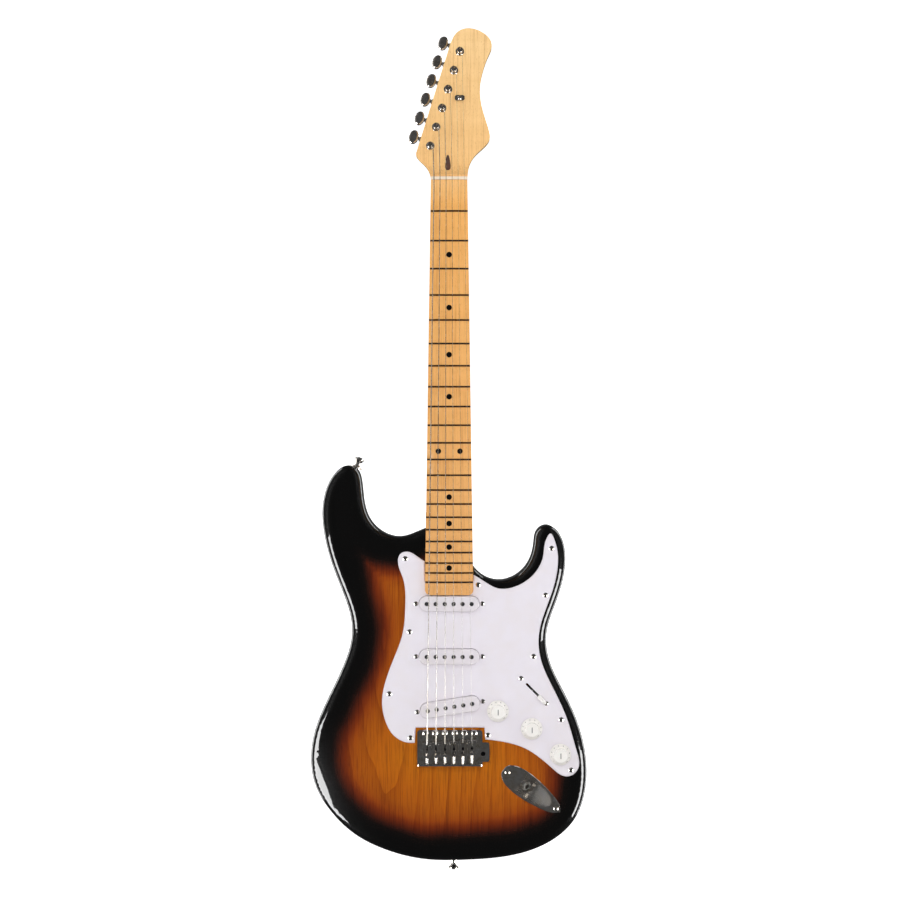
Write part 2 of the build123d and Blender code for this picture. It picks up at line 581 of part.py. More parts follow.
def pickguard():
    """White plate with a bevelled edge that carries the pickups, switch and controls."""
    plate = slab(guard_outline(), BODY_FRONT - FIT, GUARD_FRONT)
    plate = chamfer(plate.edges().group_by(Axis.Y)[0], 1.2)
    for x, z, slant, top in PICKUPS:
        plate -= slab(SlotOverall(70.8, 18.8), BODY_FRONT + 1, GUARD_FRONT - 1, x, z - SCALE, slant)
    for index in range(3):
        for side in (-38.5, 38.5):
            plate -= rod(*pickup_point(index, side, 0), BODY_FRONT + 1, GUARD_FRONT - 1, 1.6)
    x, z = switch_point(0)
    plate -= slab(SlotOverall(24.4, 2.6), BODY_FRONT + 1, GUARD_FRONT - 1, x, z, SWITCH_ANGLE)
    for along in (-20.6, 20.6):
        plate -= rod(*switch_point(along), BODY_FRONT + 1, GUARD_FRONT - 1, 1.7)
    for x, z in KNOBS:
        plate -= rod(x, z - SCALE, BODY_FRONT + 1, GUARD_FRONT - 1, 4.9)
    for x, z in GUARD_SCREWS:
        plate -= rod(x, z - SCALE, BODY_FRONT + 1, GUARD_FRONT - 1, 1.65)
        plate -= front_plane(x, GUARD_FRONT, z - SCALE) * turned([(0, -1.5), (1.6, -1.5), (3.1, 0.1), (0, 0.1)])
    return plate


def small_screw(head=2.9):
    """Oval-head wood screw used for the pickguard, the jack plate and the back cover."""
    return screw(head, 0.9, 1.3, 1.5, 15)


def cover_screws():
    """X and Z of the back cover's screws, from the saddle line."""
    return [(x, z) for x in (-43.5, 45.0) for z in (-36.0, 50.0, 136.0)]


def jack_screws():
    """X and Z of the jack plate's two screws, from the saddle line."""
    lean = math.radians(JACK_ANGLE)
    x, z = JACK_SCREW
    return [JACK_SCREW, (x + JACK_SCREW_PITCH * math.cos(lean), z + JACK_SCREW_PITCH * math.sin(lean))]


def plate_screws():
    """All small oval-head screws: pickguard, jack plate and back cover."""
    one = small_screw()
    group = [front_plane(x, GUARD_FRONT - 0.02, z - SCALE) * one for x, z in GUARD_SCREWS]
    group += [front_plane(x, BODY_FRONT - 1.4, z - SCALE) * one for x, z in jack_screws()]
    group += [back_plane(x, BODY_BACK + 1.6, z - SCALE) * one for x, z in cover_screws()]
    return group


def pickup_parts(index):
    """Cover, flat plates with the coil between them, and magnets of one pickup."""
    x, z, slant, top = PICKUPS[index]
    base = top + 17.0
    outer = slab(SlotOverall(70.0, 18.0), base - 3.2, top, x, z - SCALE, slant)
    outer = fillet(outer.edges().group_by(Axis.Y)[0], 1.6)
    cover = outer - slab(SlotOverall(67.6, 15.6), base + 1, top + 1.2, x, z - SCALE, slant)
    for pole in range(6):
        cover -= rod(*pickup_point(index, (pole - 2.5) * 10.4, 0), top + 3, top - 1, 2.55)
    low = slab(fillet(Rectangle(84, 25).vertices(), 8), base, base - 2.4, x, z - SCALE, slant)
    high = slab(SlotOverall(66.6, 14.6), top + 3.8, top + 1.5, x, z - SCALE, slant)
    winding = slab(SlotOverall(64.0, 12.6), base - 2.6, top + 4.0, x, z - SCALE, slant)
    magnets = []
    for pole in range(6):
        px, pz = pickup_point(index, (pole - 2.5) * 10.4, 0)
        magnets.append(chamfer(rod(px, pz, base + 0.4, top + 0.25, 2.38).edges(), 0.25))
        bore = rod(px, pz, base + 2, top, 2.38 + FIT)
        low, high, winding = low - bore, high - bore, winding - bore
    for side in (-38.5, 38.5):
        low -= rod(*pickup_point(index, side, 0), base + 1, base - 4, 1.4 + FIT)
    return cover, [low, high, winding], magnets


def pickup_tubes():
    """Rubber tubes that hold each pickup away from the pickguard."""
    tubes = []
    for index, (x, z, slant, top) in enumerate(PICKUPS):
        for side in (-38.5, 38.5):
            place = pickup_point(index, side, 0)
            tube = rod(*place, top + 14.55, BODY_FRONT, 2.8) - rod(*place, 40, 0, 1.5 + FIT)
            tubes.append(tube)
    return tubes


def machine_screws():
    """Pickup height screws and the two screws of the switch."""
    one = screw(2.7, 1.0, 0, 1.4, 14.5)
    group = []
    for index in range(3):
        for side in (-38.5, 38.5):
            x, z = pickup_point(index, side, 0)
            group.append(front_plane(x, GUARD_FRONT - FIT, z) * one)
    short = screw(2.7, 1.0, 0, 1.4, 7)
    for along in (-20.6, 20.6):
        x, z = switch_point(along)
        group.append(front_plane(x, GUARD_FRONT - FIT, z) * short)
    return group


# ---------------------------------------------------------------- switch
def switch_plane(depth):
    """Plane in front of the switch at a depth, with x along the slot."""
    x, z = switch_point(0)
    return front_plane(x, depth, z, SWITCH_ANGLE)


def switch_frame():
    """Bent steel frame, its contact wafer and the fixed pivot pin."""
    top = switch_plane(BODY_FRONT + 1.6)
    flange = extrude(top * fillet(Rectangle(48, 11).vertices(), 4), 1.5)
    flange -= extrude(switch_plane(BODY_FRONT + 4) * SlotOverall(27, 4.0), 8)
    for along in (-20.6, 20.6):
        flange -= rod(*switch_point(along), 20, 0, 1.4 + FIT)
    cheek = switch_plane(BODY_FRONT + 12.5) * Pos(0, 4.6, 5.6) * Box(30, 1.2, 10.6)
    wafer = switch_plane(BODY_FRONT + 12.5) * Pos(0, 6.8, -3) * Box(38, 1.6, 22)
    post = switch_plane(BODY_FRONT + 12.5) * Pos(12.5, 5.6, 0) * Rot(90, 0, 0) * Cylinder(1.2, 0.8)
    pin_depth = GUARD_FRONT + SWITCH_PIVOT_DEPTH
    pin = switch_plane(pin_depth) * Rot(90, 0, 0) * Cylinder(1.5, 8.0)
    ear = switch_plane(pin_depth) * Pos(0, 4.6, 0) * Box(12, 1.2, 6)
    return [flange + cheek + ear + pin, wafer, post]


def switch_arm(lean):
    """Location of the lever's own frame: pivot at the origin, arm along local z."""
    plane = switch_plane(GUARD_FRONT + SWITCH_PIVOT_DEPTH)
    return plane.location * Rot(0, lean, 0)


def switch_lever():
    """Flat arm on the pivot pin, with a detent roller wheel at its foot."""
    arm = Pos(0, 0, 13) * Box(3.4, 1.5, 26) + Rot(90, 0, 0) * Cylinder(4.6, 1.5)
    arm -= Rot(90, 0, 0) * Cylinder(1.5 + RUN, 4)
    return switch_arm(SWITCH_THROW) * arm


def switch_tip():
    """Plastic cap on the end of the lever."""
    foot = Pos(0, 0, 21.4) * RectangleRounded(9.4, 5.4, 2.4)
    tip = loft([foot, Pos(0, 0, 32.0) * RectangleRounded(7.2, 4.0, 1.8)])
    tip = fillet(tip.edges().group_by(Axis.Z)[-1], 1.2)
    tip -= Pos(0, 0, 22.2) * Box(3.4 + 2 * FIT, 1.5 + 2 * FIT, 8.0)
    return switch_arm(SWITCH_THROW) * tip


# ---------------------------------------------------------------- potentiometers and knobs
def pot_can(x, z):
    """Potentiometer with its threaded bushing through the pickguard and three lugs."""
    can = rod(x, z, POT_SEAT + 9.5, POT_SEAT, 12.0)
    can = fillet(can.edges().group_by(Axis.Y)[-1], 1.2)
    bushing = rod(x, z, POT_SEAT + 0.5, GUARD_FRONT - 4.4, 4.75)
    lugs = [Pos(x + dx, POT_SEAT + 1.6, z + 13.5) * Box(2.4, 0.8, 8) for dx in (-5, 0, 5)]
    hollow = rod(x, z, POT_SEAT + 8.3, GUARD_FRONT - 5, 3.0 + RUN)
    whole = can + bushing
    for lug in lugs:
        whole += lug
    return whole - hollow


def pot_nut(x, z):
    """Washer and hexagon nut that clamp a potentiometer to the pickguard."""
    nut = extrude(front_plane(x, GUARD_FRONT - 0.75, z) * RegularPolygon(6.6, 6), 2.2)
    washer = extrude(front_plane(x, GUARD_FRONT - FIT, z) * Circle(7.2), 0.6)
    bore = rod(x, z, 20, -20, 4.75 + FIT)
    return [nut - bore, washer - bore]


def pot_shaft(x, z):
    """Split knurled shaft with the wiper disc inside the can."""
    shaft = rod(x, z, POT_SEAT + 6.0, GUARD_FRONT - 11.5, 3.0)
    return shaft - Pos(x, GUARD_FRONT - 10, z) * Box(0.9, 7, 8)


def knob(x, z):
    """Skirted knob: fluted crown on a flared dial."""
    crown_back, crown_front = GUARD_FRONT - 5.0, GUARD_FRONT - 14.0
    place = front_plane(x, GUARD_FRONT - 1.2, z)
    dial = place * turned([(0, 0), (12.4, 0), (12.6, 0.5), (12.4, 1.0), (9.0, 4.6), (0, 4.6)])
    crown = rod(x, z, crown_back - 0.4, crown_front, 8.1)
    crown = fillet(crown.edges().group_by(Axis.Y)[0], 1.1)
    for flute in range(24):
        angle = math.radians(15 * flute)
        crown -= rod(x + 8.5 * math.cos(angle), z + 8.5 * math.sin(angle), crown_back - 1.2, crown_front - 1, 0.75)
    bore = rod(x, z, GUARD_FRONT + 2, GUARD_FRONT - 12, 3.0 + FIT)
    room = rod(x, z, GUARD_FRONT + 2, GUARD_FRONT - 4.9, 7.8)
    return dial + crown - bore - room


# ---------------------------------------------------------------- output jack
def jack_plate():
    """Boat-shaped dish with a bevelled rim and a scoop whose steep wall holds the jack."""
    plate = extrude(Pos(0, 0, FIT) * mirrored_outline(JACK_OUTLINE), 1.4)
    plate = chamfer(plate.edges().group_by(Axis.Z)[-1], 0.6)
    shell = jack_scoop(1.2) & Pos(30, 0, -14.7) * Box(120, 60, 30)
    plate = plate + shell - jack_scoop(0)
    wall = Plane(jack_plane().location.inverse() * jack_socket_plane().location)
    plate -= wall * Cylinder(4.8, 12)
    for along in (0, JACK_SCREW_PITCH):
        plate -= Pos(along, 0, 0) * Cylinder(1.65, 8)
        plate -= Pos(along, 0, 1.45) * turned([(0, -1.5), (1.6, -1.5), (3.1, 0.1), (0, 0.1)])
    return jack_plane() * plate


def output_jack():
    """Jack socket: threaded sleeve with its flange and two bent contact springs, and a nut."""
    sleeve = Pos(0, 0, -0.9) * Cylinder(4.7, 8.6)
    flange = Pos(0, 0, -2.3) * Cylinder(8.6, 2.0)
    nut = extrude(RegularPolygon(5.9, 6), 2.0)
    nut = Pos(0, 0, FIT) * (nut - Cylinder(4.7 + FIT, 40))
    contact = Pos(6.2, 0, -12.0) * Box(0.7, 5, 18) + Pos(4.7, 0, -20.6) * Box(3.6, 5, 0.7)
    short = Pos(-6.2, 0, -8.0) * Box(0.7, 5, 11)
    socket = sleeve + flange + contact + short - Cylinder(3.2, 60)
    return [jack_socket_plane() * socket, jack_socket_plane() * nut]


# ---------------------------------------------------------------- vibrato bridge
def pivot_xs():
    """X of the six pivot screws."""
    return [BRIDGE_X + (k - 2.5) * 11.28 for k in range(6)]


def saddle_xs():
    """X of the six strings at the bridge."""
    return [string_x(k, -SCALE) for k in range(6)]


def saddle_shift(index):
    """How far a saddle stands towards the nut from the middle place; index 0 is the thickest string."""
    return SADDLE_FIRST_SHIFT + SADDLE_STEP * index


def bridge_plate():
    """Bent steel plate: six pivot holes in front, a turned-up rear edge and an arm socket."""
    left, right = BRIDGE_X - 37.8, BRIDGE_X + 37.9
    plate = block((left, PLATE_FRONT, -30.6 - SCALE), (right, PLATE_BACK, 10.4 - SCALE))
    ear = block((right - 1, PLATE_FRONT, -26.6 - SCALE), (46.8, PLATE_BACK, -4.0 - SCALE))
    ear = fillet(ear.edges().filter_by(Axis.Y).group_by(Axis.X)[-1], 2.8)
    plate = fillet(plate.edges().filter_by(Axis.Y).group_by(Axis.Z)[-1], 3.5)
    lip = block((left, PLATE_FRONT - 7.6, -30.6 - SCALE), (right, PLATE_FRONT + 0.5, -28.8 - SCALE))
    lip = fillet(lip.edges().filter_by(Axis.Z).group_by(Axis.Y)[0], 2.5)
    plate = plate + lip
    corner = plate.edges().filter_by(Axis.X).filter_by(
        lambda e: abs(e.center().Y - PLATE_BACK) < 0.1 and e.center().Z < -30 - SCALE)
    plate = fillet(corner, 1.7)
    plate = plate + ear
    for x in pivot_xs():
        plate -= rod(x, PIVOT_Z - SCALE, 20, 0, 1.9 + 0.4)
    for x in saddle_xs():
        plate -= rod(x, HOLE_Z - SCALE, 20, 0, 2.1)
        plate -= bar((x, SCREW_Y, -40 - SCALE), (x, SCREW_Y, -20 - SCALE), 1.4)
    for x in BLOCK_SCREW_XS:
        plate -= rod(x, -6.2 - SCALE, 20, 0, 1.5 + FIT)
    plate -= rod(ARM_SOCKET[0], ARM_SOCKET[1] - SCALE, 20, 0, 2.65)
    return plate


def saddle(index):
    """Bent steel saddle: rounded nose, flat top with a string slot and a rear tab for its screw."""
    x = saddle_xs()[index]
    half = 5.0
    top = STRING_Y_BRIDGE + 0.06
    outer = Polyline((SADDLE_BACK_Z, PLATE_FRONT - 0.7), (SADDLE_BACK_Z, -2.2))
    bend = ThreePointArc((SADDLE_BACK_Z, -2.2), (SADDLE_BACK_Z + 0.6, -2.9), (SADDLE_BACK_Z + 1.6, -3.1))
    roof = Polyline(bend @ 1, (-6.5, -3.2))
    nose = Line((-6.5, -3.2), (-5.4, -3.7)) + ThreePointArc((-5.4, -3.7), (-3.8, top), (-2.1, -3.3))
    inner = Polyline((-2.1, -3.3), (-1.7, 0.6), (-3.2, 0.6), (-3.4, -1.0), (-5.0, -1.8), (SADDLE_BACK_Z + 1.5, -1.6),
                     (SADDLE_BACK_Z + 1.5, PLATE_FRONT - 0.7), (SADDLE_BACK_Z, PLATE_FRONT - 0.7))
    profile = make_face(outer + bend + roof + nose + inner)
    plane = Plane(origin=(x - half, 0, -SCALE), x_dir=(0, 0, 1), z_dir=(1, 0, 0))
    strip = extrude(plane * mirror(profile, Plane.XZ), 2 * half)
    strip -= block((x - 0.85, -8, -11.4 - SCALE), (x + 0.85, 3, -3.6 - SCALE))
    strip -= rod(x, -11.4 - SCALE, 3, -8, 1.5)
    strip -= block((x - 2.0, -8, -17.2 - SCALE), (x + 2.0, 3, -13.8 - SCALE))
    for side in (-3.4, 3.4):
        strip -= rod(x + side, -5.6 - SCALE, 10, -8, 1.25)
    strip -= bar((x, SCREW_Y, -25 - SCALE), (x, SCREW_Y, -15 - SCALE), 1.3)
    return Pos(0, 0, saddle_shift(index)) * strip


def saddle_height_screws():
    """Two headless hexagon-socket screws in each saddle."""
    group = []
    for index, x in enumerate(saddle_xs()):
        z = -5.6 - SCALE + saddle_shift(index)
        for side in (-3.4, 3.4):
            pin = rod(x + side, z, PLATE_FRONT - FIT, -4.6, 1.2)
            group.append(pin - extrude(front_plane(x + side, -3.6, z) * RegularPolygon(0.65, 6), 2))
    return group


def intonation_screws():
    """Screws through the plate's rear edge that draw the saddles back."""
    one = screw(2.6, 1.2, 0, 1.2, 17.5)
    plane = Plane(origin=(0, SCREW_Y, -30.65 - SCALE), x_dir=(1, 0, 0), z_dir=(0, 0, -1))
    return [Pos(x, 0, 0) * plane * one for x in saddle_xs()]


def intonation_springs():
    """Springs that hold each saddle forward on its screw."""
    group = []
    for index, x in enumerate(saddle_xs()):
        length = SADDLE_BACK_Z + saddle_shift(index) + 28.7
        group.append(Pos(x, SCREW_Y, -28.3 - SCALE) * coil(1.75, 0.25, length - 0.8, 6))
    return group


def tremolo_block():
    """Steel block under the plate with string bores, spring holes and an arm socket."""
    left, right = BRIDGE_X - 33.5, BRIDGE_X + 33.5
    lump = block((left, PLATE_BACK + FIT, -17.0 - SCALE), (right, BLOCK_BACK, -3.0 - SCALE))
    x, z = ARM_SOCKET
    socket = rod(x, z - SCALE, 24, PLATE_BACK + FIT, 4.2)
    web = block((right - 2, PLATE_BACK + FIT, -16.5 - SCALE), (x, 22, -12 - SCALE))
    lump = lump + web + socket - rod(x, z - SCALE, 23, 0, 2.65)
    for x in saddle_xs():
        lump -= rod(x, HOLE_Z - SCALE, BLOCK_BACK + 1, 0, 1.6)
        lump -= rod(x, HOLE_Z - SCALE, BLOCK_BACK + 1, BLOCK_BACK - 9, 3.4)
    for x in SPRING_XS:
        lump -= rod(x, -5.2 - SCALE, BLOCK_BACK + 1, BLOCK_BACK - 8, 1.5)
    for x in BLOCK_SCREW_XS:
        lump -= rod(x, -6.2 - SCALE, 22, 0, 1.5 + FIT)
    return lump


def block_screws():
    """Three screws that hold the block to the plate."""
    one = screw(2.0, 0.4, 0, 1.5, 14)
    return [front_plane(x, PLATE_FRONT - FIT, -6.2 - SCALE) * one for x in BLOCK_SCREW_XS]


def pivot_screws():
    """Six wood screws that the plate rocks against."""
    one = screw(3.8, 2.0, 0, 1.9, 28)
    return [front_plane(x, PLATE_FRONT - 1.0, PIVOT_Z - SCALE) * one for x in pivot_xs()]


def bent_wire(points, radius):
    """Round wire along straight stretches with mitred corners."""
    path = Polyline(*points)
    return sweep(Plane(origin=path @ 0, z_dir=path % 0) * Circle(radius), path=path,
                 transition=Transition.RIGHT)


def ribbed_tube(inner, wire, height, pitch):
    """Tube with round ridges like closely wound wire, along local Z from height 0."""
    turns = round(height / pitch)
    profile = [(inner, height), (inner, 0)]
    for turn in range(turns):
        profile += [(inner + 0.9 * wire, turn * height / turns), (inner + 2 * wire, (turn + 0.5) * height / turns)]
    return turned(profile + [(inner + 0.9 * wire, height)])


def tremolo_springs():
    """Three closely wound springs between the block and the claw, each with straight hooks."""
    group = []
    start, end = 14.0, 100.0
    depth = SPRING_Y + 2.0
    for x in SPRING_XS:
        windings = Pos(x, depth, start - SCALE) * ribbed_tube(2.5, 0.6, end - start, 1.6)
        low = bent_wire([(x + 3.0, depth, start + 1 - SCALE), (x, BLOCK_BACK + 1.4, -5.2 - SCALE),
                         (x, BLOCK_BACK - 6.5, -5.2 - SCALE)], 0.6)
        high = bar((x + 3.0, depth, end - 1 - SCALE), (x, depth, CLAW_Z + 4.6 - SCALE), 0.6)
        group.append(windings + low + high)
    return group


def spring_claw():
    """Steel claw whose hooks hold the springs."""
    plate = block((BRIDGE_X - 30, CLAW_Y - 5, CLAW_Z - SCALE), (BRIDGE_X + 30, CLAW_Y + 4.5, CLAW_Z + 1.8 - SCALE))
    for x in SPRING_XS:
        plate -= block((x - 1.3, SPRING_Y + 0.6, CLAW_Z - 3 - SCALE), (x + 1.3, 60, CLAW_Z + 5 - SCALE))
    for x in CLAW_SCREW_XS:
        plate -= bar((x, CLAW_Y, CLAW_Z - 5 - SCALE), (x, CLAW_Y, CLAW_Z + 5 - SCALE), 2.0 + FIT)
    return plate


def claw_screws():
    """Two long screws that pull the claw towards the neck."""
    one = screw(4.2, 2.0, 0, 2.0, 50)
    return [Plane(origin=(x, CLAW_Y, CLAW_Z - FIT - SCALE), x_dir=(1, 0, 0), z_dir=(0, 0, -1)) * one
            for x in CLAW_SCREW_XS]


def back_cover():
    """Plastic plate over the spring cavity with six oblong string openings."""
    outline = Pos(BRIDGE_X, 50) * RectangleRounded(97, 182, 7)
    plate = slab(outline, BODY_BACK + 1.65, BODY_BACK + FIT)
    for x in saddle_xs():
        plate -= slab(Pos(x, -12) * Rot(0, 0, 90) * SlotOverall(15, 7.0), BODY_BACK + 3, BODY_BACK - 1)
    for x, z in cover_screws():
        plate -= rod(x, z - SCALE, BODY_BACK + 3, BODY_BACK - 1, 1.65)
        plate -= back_plane(x, BODY_BACK + 1.65, z - SCALE) * turned([(0, -1.5), (1.6, -1.5), (3.1, 0.1), (0, 0.1)])
    return plate


# ---------------------------------------------------------------- strings, straps, wiring
def string_path(index):
    """Corner points of a string from its ball end to its post; index 0 is the thickest."""
    radius = STRING_RADII[index]
    x = saddle_xs()[index]
    post_x, post_z = tuner_post(5 - index)
    side = 2.6 + radius
    lean = math.radians(TUNER_ANGLE)
    nut_x = string_x(index, 0)
    wrap_y = -(18.4 + 4.0) + NECK_BLANK + 0.6
    points = [(x, BLOCK_BACK - 7.4, HOLE_Z - SCALE), (x, PLATE_BACK, HOLE_Z - SCALE),
              (x, STRING_Y_BRIDGE - radius - 0.02, saddle_shift(index) - 3.8 - SCALE),
              (nut_x, STRING_Y_NUT - 0.02, 0), (nut_x, STRING_Y_NUT + 0.05, 3.4)]
    if index >= 4:
        share = 95.5 / post_z
        points.append((nut_x + (post_x + side - nut_x) * share, HEAD_FRONT - 4.9, 95.5))
    points.append((post_x + side, wrap_y, post_z))
    return points


def strings():
    """Six strings with ball ends and their turns round the posts."""
    group = []
    for index, radius in enumerate(STRING_RADII):
        points = string_path(index)
        length = bent_wire(points, radius)
        ball = Pos(*points[0]) * Rot(90, 0, 0) * Cylinder(2.0, 3.0)
        post_x, post_z = tuner_post(5 - index)
        height = min(6 * radius, 3.0)
        turns = back_plane(post_x, points[-1][1] - radius, post_z) * ribbed_tube(2.6, radius, height, 2 * radius)
        group.append(length + ball + turns)
    return group


def strap_buttons():
    """Buttons, felt washers and screws at the upper horn and the tail."""
    group = []
    profile = [(2.1, 1.5), (5.6, 1.5), (5.6, 2.1), (3.4, 2.8), (3.1, 5.0), (3.6, 7.4), (4.8, 9.6), (6.0, 10.8),
               (6.0, 11.7), (4.6, 12.4), (2.1, 12.4)]
    for seat, out in strap_points():
        plane = Plane(origin=Vector(*seat), z_dir=Vector(*out).normalized())
        group.append(plane * turned(profile))
        group.append(plane * (Pos(0, 0, 0.55) * (Cylinder(6.4, 1.7) - Cylinder(2.1, 4))))
        group.append(plane * Pos(0, 0, 12.45) * screw(3.6, 1.2, 0, 1.9, 36))
    return group


def wire(points, radius):
    """Insulated lead through a few points."""
    path = Spline(*points)
    return sweep(Plane(origin=path @ 0, z_dir=path % 0) * Circle(radius), path=path)


def wiring_loom():
    """Leads of the pickups, switch, controls and jack, and the tone capacitor."""
    base = -SCALE
    capacitor = Plane(origin=(116, 36, 4 + base), z_dir=(1, 0, 1)) * fillet(Cylinder(4.5, 3.2).edges(), 1.0)
    leads = [
        wire([(30, 20.5, 156 + base), (34.5, 20.5, 140 + base), (34.5, 18.6, 108 + base), (36.2, 18.8, 92 + base),
              (39.6, 21, 79 + base), (48.6, 26, 55.5 + base), (64, 28, 63 + base)], 0.8),
        wire([(20, 24, 95 + base), (32, 24, 95 + base), (39.6, 21.8, 86 + base), (43.0, 24.8, 76.5 + base),
              (50.4, 30, 53 + base), (58, 38, 46 + base)], 0.8),
        wire([(20, 24, 38 + base), (38, 25, 38 + base), (50, 30, 40 + base), (60, 38, 42 + base)], 0.8),
        wire([(64, 30, 32 + base), (80, 36, 22 + base), (92, 34, 24 + base), (98, 32, 40 + base)], 0.8),
        wire([(96, 26, 2 + base), (106, 30, -6 + base), (118, 28, -14 + base), (126, 26, -18 + base)], 0.8),
        wire([(88, 36, 6 + base), (83, 36.1, -10 + base), (77.6, 36.1, -28 + base)], 0.9),
    ]
    return [capacitor] + leads


# ---------------------------------------------------------------- all nodes
def neck_nodes():
    """Neck and the pieces set into it."""
    blank = neck_blank()
    stripe, plug = skunk_stripe(blank)
    heel = HEEL_END - SCALE
    cutters = [
        block((-3.2 - FIT, 9.2, -395 - FIT), (3.2 + FIT, 30, -12 + FIT)),
        bar((0, 11.6, heel - 2), (0, 11.6, -13), 2.4 + FIT),
        bar((0, 11.6, heel - 2), (0, 11.6, heel + 13), 4.7 + FIT),
        bar((-1.5, 7.9, 30), (-1.5, 14.62, -5.1), 3.3 + FIT),
        block((-30, -9, 0.0), (30, 3.0 + FIT, 3.4 + FIT)),
    ]
    cutters += [fret(number, gap=FIT / 2) for number in range(1, FRETS + 1)]
    cutters += [rod(x, z, 1.6 + FIT, -2, 3.2 + FIT) for x, z in marker_places()]
    cutters += [side_dot(z, FIT, 0.8) for x, z in marker_places()[:8]]
    for number in range(6):
        plane = tuner_plane(number)
        cutters.append(plane * Pos(0, 0, -15) * Cylinder(3.175 + RUN, 40))
        cutters.append(plane * Pos(0, 0, -14.2) * Cylinder(4.4 + FIT, 12.1))
    for number in range(7):
        plane = tuner_plane(number, TUNER_PITCH / 2 + 2.1)
        cutters.append(plane * Pos(-1.0, 0, -4) * Cylinder(1.2 + FIT, 20))
    cutters.append(front_plane(12.3, HEAD_FRONT, 95.5) * Cylinder(1.4 + FIT, 22))
    for x, z in neck_screw_places():
        cutters.append(rod(x, z, 30, 9.0, 2.15 + FIT))
    return {
        "neck": blank - cutters,
        "frets": solids([fret(number) for number in range(1, FRETS + 1)]),
        "nut": string_nut(),
        "fret_markers": solids(fret_markers()),
        "skunk_stripe": solids(stripe, plug),
        "truss_rod": solids(truss_rod()),
        "string_tree": solids(string_tree()),
        "neck_plate": neck_plate(),
        "neck_screws": solids(neck_screws()),
    }


def tuner_nodes():
    """Six tuners; each key and each post is a node of its own."""
    small = Pos(0, 0, 1.15) * screw(2.2, 0.9, 0, 1.2, 11)
    nodes = {
        "tuner_housings": solids([tuner_plane(k) * tuner_housing() for k in range(6)]),
        "tuner_bushings": solids([tuner_plane(k) * tuner_bushing() for k in range(6)]),
        "tuner_screws": solids([tuner_plane(k, TUNER_PITCH / 2 + 2.1) * Pos(-1.0, 0, 0) * small
                                for k in range(7)]),
    }
    for k in range(6):
        key_place = tuner_plane(k) * Pos(0, KEY_OFFSET, KEY_DEPTH)
        nodes[f"tuner_key_{k + 1}"] = key_place * tuner_key()
        nodes[f"tuner_post_{k + 1}"] = tuner_plane(k) * tuner_gear_and_post()
    return nodes


def pickup_nodes():
    """Pickguard, pickups, switch and controls."""
    covers, coils, magnets = [], [], []
    for index in range(3):
        cover, coil_parts, rods = pickup_parts(index)
        covers.append(cover)
        coils += coil_parts
        magnets += rods
    places = [(x, z - SCALE) for x, z in KNOBS]
    nodes = {
        "pickguard": pickguard(),
        "plate_screws": solids(plate_screws()),
        "pickup_covers": solids(covers),
        "pickup_coils": solids(coils),
        "pickup_magnets": solids(magnets),
        "pickup_tubes": solids(pickup_tubes()),
        "machine_screws": solids(machine_screws()),
        "switch_frame": solids(switch_frame()),
        "switch_lever": switch_lever(),
        "switch_tip": switch_tip(),
        "pot_cans": solids([pot_can(x, z) for x, z in places]),
        "pot_nuts": solids([pot_nut(x, z) for x, z in places]),
        "wiring_loom": solids(wiring_loom()),
        "jack_plate": jack_plate(),
        "output_jack": solids(output_jack()),
    }
    for name, (x, z) in zip(("volume", "tone_1", "tone_2"), places):
        nodes[f"{name}_knob"] = knob(x, z)
        nodes[f"{name}_shaft"] = pot_shaft(x, z)
    return nodes


def bridge_nodes():
    """Vibrato bridge, its springs and the strings."""
    return {
        "bridge_plate": bridge_plate(),
        "bridge_saddles": solids([saddle(index) for index in range(6)]),
        "saddle_height_screws": solids(saddle_height_screws()),
        "intonation_screws": solids(intonation_screws()),
        "intonation_springs": solids(intonation_springs()),
        "tremolo_block": tremolo_block(),
        "block_screws": solids(block_screws()),
        "pivot_screws": solids(pivot_screws()),
        "tremolo_springs": solids(tremolo_springs()),
        "spring_claw": spring_claw(),
        "claw_screws": solids(claw_screws()),
        "back_cover": back_cover(),
        "strings": solids(strings()),
        "strap_buttons": solids(strap_buttons()),
    }


def main():
    """Build every node and write one STEP file for each."""
    os.makedirs("parts", exist_ok=True)
    nodes = {"body": body()}
    for group in (neck_nodes, tuner_nodes, pickup_nodes, bridge_nodes):
        nodes.update(group())
    for name, shape in nodes.items():
        export_step(shape, f"parts/{name}.step")
        print(f"{name}: {len(shape.solids())} solids")


main()
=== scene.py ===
import json
import math

import bmesh
import bpy
import numpy as np
from mathutils import Matrix, Vector


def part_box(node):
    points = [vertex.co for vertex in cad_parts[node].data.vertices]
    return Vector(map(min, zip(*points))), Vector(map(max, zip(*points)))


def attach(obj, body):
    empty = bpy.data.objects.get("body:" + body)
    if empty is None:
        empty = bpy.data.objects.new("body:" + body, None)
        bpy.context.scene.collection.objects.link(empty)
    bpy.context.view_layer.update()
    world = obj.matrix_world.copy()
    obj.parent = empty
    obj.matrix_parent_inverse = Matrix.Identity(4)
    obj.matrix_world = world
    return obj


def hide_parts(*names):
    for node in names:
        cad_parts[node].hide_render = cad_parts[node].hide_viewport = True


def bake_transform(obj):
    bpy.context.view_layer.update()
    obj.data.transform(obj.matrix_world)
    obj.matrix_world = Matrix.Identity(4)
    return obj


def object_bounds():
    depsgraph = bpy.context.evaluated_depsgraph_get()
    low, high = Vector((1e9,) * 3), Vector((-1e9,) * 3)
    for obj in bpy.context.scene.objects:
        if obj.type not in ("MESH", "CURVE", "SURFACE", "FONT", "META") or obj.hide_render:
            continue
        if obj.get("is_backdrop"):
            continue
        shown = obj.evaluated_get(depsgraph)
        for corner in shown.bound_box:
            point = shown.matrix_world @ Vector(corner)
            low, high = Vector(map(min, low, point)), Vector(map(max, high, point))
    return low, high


# Electric guitar, standing upright: +Z runs up the neck, -Y is the front and +X the treble side. In metres.

